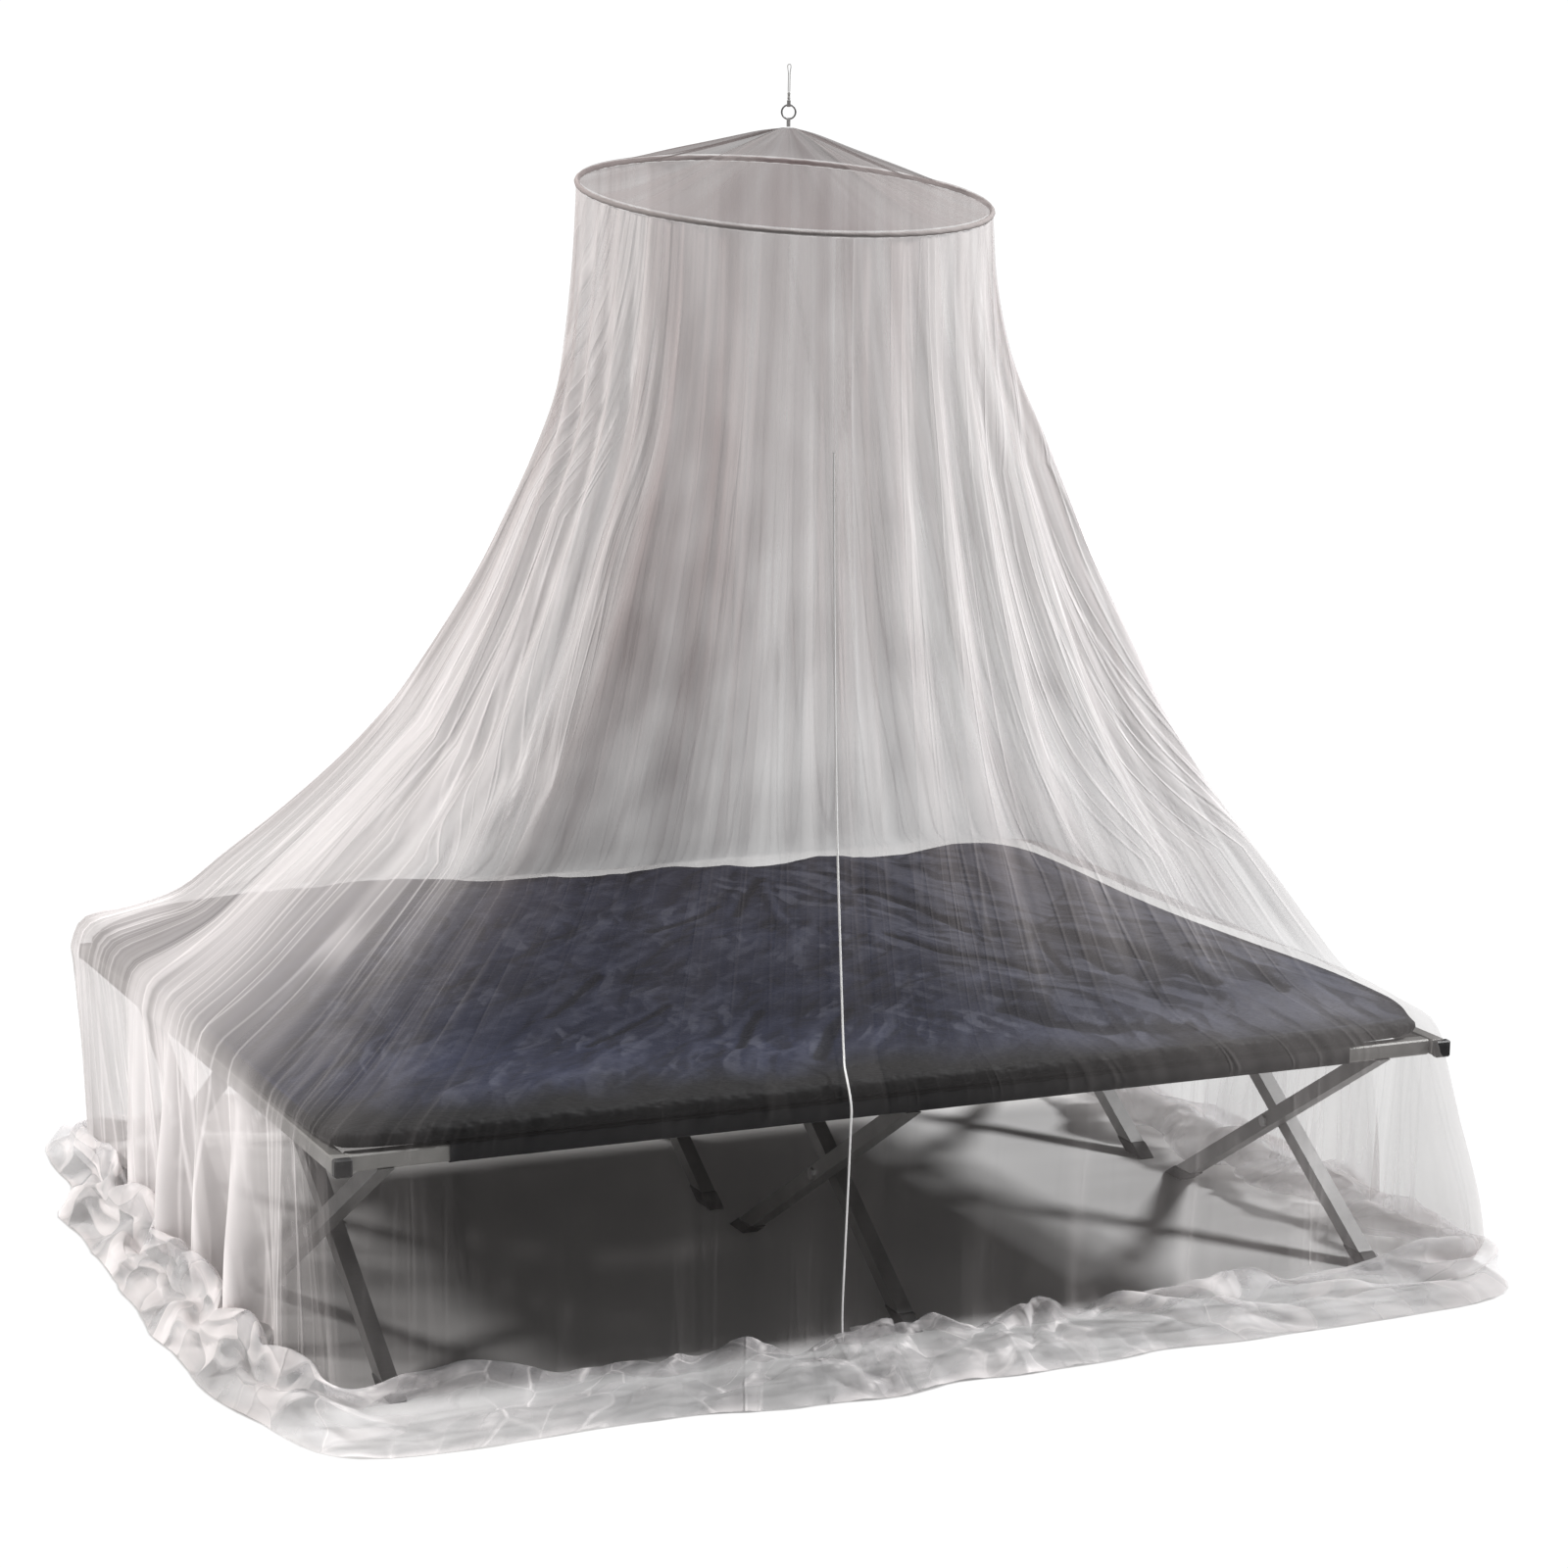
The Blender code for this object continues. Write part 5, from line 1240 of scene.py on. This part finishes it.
net_cloth_places = np.zeros((len(net_points), NET_COLUMNS, 2))
hem_steps = np.linalg.norm(np.diff(outlines(net_turns, NET_HEM, HEM_SHARPNESS), axis=0), axis=1)
hem_along = np.concatenate([[0], np.cumsum(hem_steps)])
net_cloth_places[:, :, 0] = (hem_along / hem_along[-1] * NET_WIDTH)[None, :]
middle_line = net_points[:, NET_COLUMNS // 4]
line_steps = np.concatenate([[0], np.cumsum(np.linalg.norm(np.diff(middle_line, axis=0), axis=1))])
net_cloth_places[:, :, 1] = line_steps[:, None]
net_strands = net_cloth_places.copy()
net_strands[:, :, 0] = np.interp(strand_turns(net_turns, net_marks), net_turns, net_cloth_places[0, :, 0])
net_layers = {"cloth": net_cloth_places, "strands": net_strands}
net_body = bpy.data.objects.new("net_body", cloth_mesh("net_body", net_points, net_layers, False))
bpy.context.scene.collection.objects.link(net_body)
net_body.data.materials.append(net_cloth)
net_body.data.materials.append(heap_cloth)
net_heap_faces = np.repeat(net_marks[:-1] > HEAP_FROM, NET_COLUMNS - 1).astype(np.int32)
net_body.data.polygons.foreach_set("material_index", net_heap_faces)
net_cover = sheet_table(COVER, net_degrees, net_marks)
net_cover *= np.where(past < OVERLAP, 0.35, 1.0)[None, :]
mark_sheet(net_body, "cover", net_cover)
mark_sheet(net_body, "white", sheet_table(FOLD_WHITE_AND_LIGHT, net_degrees, net_marks))
mark_sheet(net_body, "crease", net_creases + heap_lines * 0.5)
net_heaped = np.clip((net_marks - 19.2) / 1.2, 0, 1)[:, None]
mark_sheet(net_body, "heaped", np.broadcast_to(net_heaped, net_points.shape[:2]))
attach(net_body, "root")
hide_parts("net_skirt")


# --- Stage -------------------------------------------------------------------------------------------
# A pale floor in a pale room, one lamp from the camera's left and one from its right, as the shadows
# under the bed show, a weak low one from the front and an even fill. Past the net the floor is white.
LAMPS = (  # name, direction to the lamp, strength, angle in degrees, colour
    ("left_lamp", (-0.98, 0.65, 1.0), 3.4, 9.0, (1.0, 0.99, 0.98)),
    ("right_lamp", (1.18, -0.12, 1.0), 5.2, 9.0, (0.98, 0.99, 1.0)),
    ("front_lamp", (-0.41, -0.90, 0.10), 0.55, 40.0, (1.0, 1.0, 1.0)),
)
ROOM_LIGHT = 0.115
FLOOR_STEPS = 240
FLOOR_RINGS = (  # share of the hem's distance, metres more, how white
    (0.5, 0.0, 0.0), (1.0, -0.004, 0.0), (1.0, 0.008, 1.0), (1.7, 0.0, 1.0),
)

hem_degrees = np.degrees(net_turns) % 360
hem_reach = np.hypot(net_points[-1, :, 0], net_points[-1, :, 1])
hem_order = np.argsort(hem_degrees)
floor_degrees = np.arange(FLOOR_STEPS) * 360 / FLOOR_STEPS
floor_reach = np.interp(floor_degrees, hem_degrees[hem_order], hem_reach[hem_order], period=360)
floor_shape = bmesh.new()
floor_white = floor_shape.verts.layers.float.new("past_net")
floor_middle = floor_shape.verts.new((0.0, 0.0, -0.0005))
floor_rings = []
for floor_share, floor_more, floor_past in FLOOR_RINGS:
    ring = []
    for degrees, reach in zip(floor_degrees, floor_reach):
        away = reach * floor_share + floor_more
        floor_turn = math.radians(degrees)
        floor_side, floor_back = away * math.cos(floor_turn), away * math.sin(floor_turn)
        vert = floor_shape.verts.new((floor_side, floor_back, -0.0005))
        vert[floor_white] = floor_past
        ring.append(vert)
    floor_rings.append(ring)
for number in range(FLOOR_STEPS):
    after = (number + 1) % FLOOR_STEPS
    floor_shape.faces.new((floor_middle, floor_rings[0][number], floor_rings[0][after]))
    for inner, outer in zip(floor_rings, floor_rings[1:]):
        floor_shape.faces.new((inner[number], outer[number], outer[after], inner[after]))
floor_mesh = bpy.data.meshes.new("floor")
floor_shape.to_mesh(floor_mesh)
floor_shape.free()
floor = bpy.data.objects.new("floor", floor_mesh)
bpy.context.scene.collection.objects.link(floor)
floor_material, floor_shader, floor_start = new_finish("pale_floor", 0.85)
floor_place = floor_start.node("ShaderNodeTexCoord", {}, {}, "Object")
floor_grain = floor_start.noise(floor_place, 3.0, 2.0)
floor_shader.inputs["Specular IOR Level"].default_value = 0.1
floor_past = floor_start.node("ShaderNodeAttribute", {"attribute_name": "past_net"}, {}, "Fac")
floor_past = floor_past.between(0.2, 0.8)
floor_tone = floor_grain.mix((0.52, 0.51, 0.505), (0.54, 0.53, 0.525))
feed(floor_shader, "Base Color", floor_past.mix(floor_tone, (0.0, 0.0, 0.0)))
feed(floor_shader, "Emission Color", floor_past.mix((0.0, 0.0, 0.0), (1.03, 1.03, 1.03)))
floor_shader.inputs["Emission Strength"].default_value = 1.0
floor_mesh.materials.append(floor_material)

for lamp_name, lamp_way, strength, lamp_angle, lamp_colour in LAMPS:
    lamp = bpy.data.lights.new(lamp_name, "SUN")
    lamp.energy = strength
    lamp.angle = math.radians(lamp_angle)
    lamp.color = lamp_colour
    lamp_object = bpy.data.objects.new(lamp_name, lamp)
    lamp_object.rotation_euler = Vector(lamp_way).to_track_quat("Z", "Y").to_euler()
    bpy.context.scene.collection.objects.link(lamp_object)

world = bpy.data.worlds.new("room")
world.use_nodes = True
bpy.context.scene.world = world
room = Value(world.node_tree)
seen_by_camera = room.node("ShaderNodeLightPath", {}, {}, "Is Camera Ray")
room_light = seen_by_camera * (1.05 - ROOM_LIGHT) + ROOM_LIGHT
background = world.node_tree.nodes["Background"]
background.inputs["Color"].default_value = (1.0, 1.0, 1.0, 1.0)
world.node_tree.links.new(room_light.socket, background.inputs["Strength"])
bpy.context.scene.view_settings.view_transform = "Standard"
bpy.context.scene.cycles.transparent_max_bounces = 24


# --- Entrance binding --------------------------------------------------------------------------------
# A narrow white woven tape folded over the upright edge of the outer flap and sewn down, from a quarter
# of the way below the hoop to the hem.
BINDING_WIDTH = 0.0032
BINDING_THICKNESS = 0.0010
BINDING_CLEARANCE = 0.0030
BINDING_FROM = 3.0           # the sections where it starts and where it dips into the heap
BINDING_TO = 20.6

white_tape = woven_finish("white_tape", (0.80, 0.79, 0.78), (0.70, 0.69, 0.68), 0.0012, 0.8)
binding_rows = (net_marks >= BINDING_FROM) & (net_marks <= BINDING_TO)
binding_edge = net_points[binding_rows, 0]
binding_side = net_points[binding_rows, 2] - binding_edge
binding_side /= np.linalg.norm(binding_side, axis=1, keepdims=True)
binding_out = net_normals[binding_rows, 0]
binding_middle = binding_edge + binding_out * BINDING_CLEARANCE
binding_points = []
for along, off in ((-0.5, -0.5), (-0.5, 0.5), (0.5, 0.5), (0.5, -0.5)):
    binding_corner = binding_side * (along * BINDING_WIDTH) + binding_out * (off * BINDING_THICKNESS)
    binding_points.append(binding_middle + binding_corner)
binding_points = np.stack(binding_points, 1)
binding_points[:, :, 2] = np.maximum(binding_points[:, :, 2], 0.0006)
binding_cloth = np.zeros((len(binding_points), 5, 2))
binding_mesh = cloth_mesh("entrance_edge", binding_points, {"cloth": binding_cloth}, True)
entrance_edge = bpy.data.objects.new("entrance_edge", binding_mesh)
bpy.context.scene.collection.objects.link(entrance_edge)
entrance_edge.data.materials.append(white_tape)
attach(entrance_edge, "root")
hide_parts("entrance_binding")


# --- Tab at the crown --------------------------------------------------------------------------------
# A short loop of the same tape, sewn into the point of the crown and passed through the ring.
TAB_WIRE = Vector((0.055, -0.030, 1.882))
TAB_FOOT = 1.8695
TAB_RADIUS = 0.0026
TAB_WIDTH = 0.0062

tab_turns = [math.pi * step / 10 for step in range(11)]
tab_route = [(TAB_RADIUS * 0.75, TAB_FOOT), (TAB_RADIUS * 0.95, (TAB_FOOT + TAB_WIRE.z) / 2)]
tab_route += [(TAB_RADIUS * math.cos(turn), TAB_WIRE.z + TAB_RADIUS * math.sin(turn)) for turn in tab_turns]
tab_route += [(-TAB_RADIUS * 0.95, (TAB_FOOT + TAB_WIRE.z) / 2), (-TAB_RADIUS * 0.75, TAB_FOOT)]
tab_rows = []
for tab_out, tab_height in tab_route:
    row = []
    for step in range(9):
        across = (step / 8 - 0.5) * TAB_WIDTH
        ripple = 0.0011 * math.cos(step * math.pi / 2) * (1 if tab_out > 0 else -1)
        rippled = tab_out + ripple
        row.append((TAB_WIRE.x + math.cos(VIEW_TURN) * across - math.sin(VIEW_TURN) * rippled,
                    TAB_WIRE.y + math.sin(VIEW_TURN) * across + math.cos(VIEW_TURN) * rippled, tab_height))
    tab_rows.append(row)
tab_points = np.array(tab_rows)
tab_cloth = np.zeros((len(tab_rows), 9, 2))
tab_mesh = cloth_mesh("crown_tab", tab_points, {"cloth": tab_cloth}, False)
crown_tab = bpy.data.objects.new("crown_tab", tab_mesh)
bpy.context.scene.collection.objects.link(crown_tab)
crown_tab.data.materials.append(white_tape)
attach(crown_tab, "root")
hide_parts("apex_loop")

bpy.context.view_layer.update()
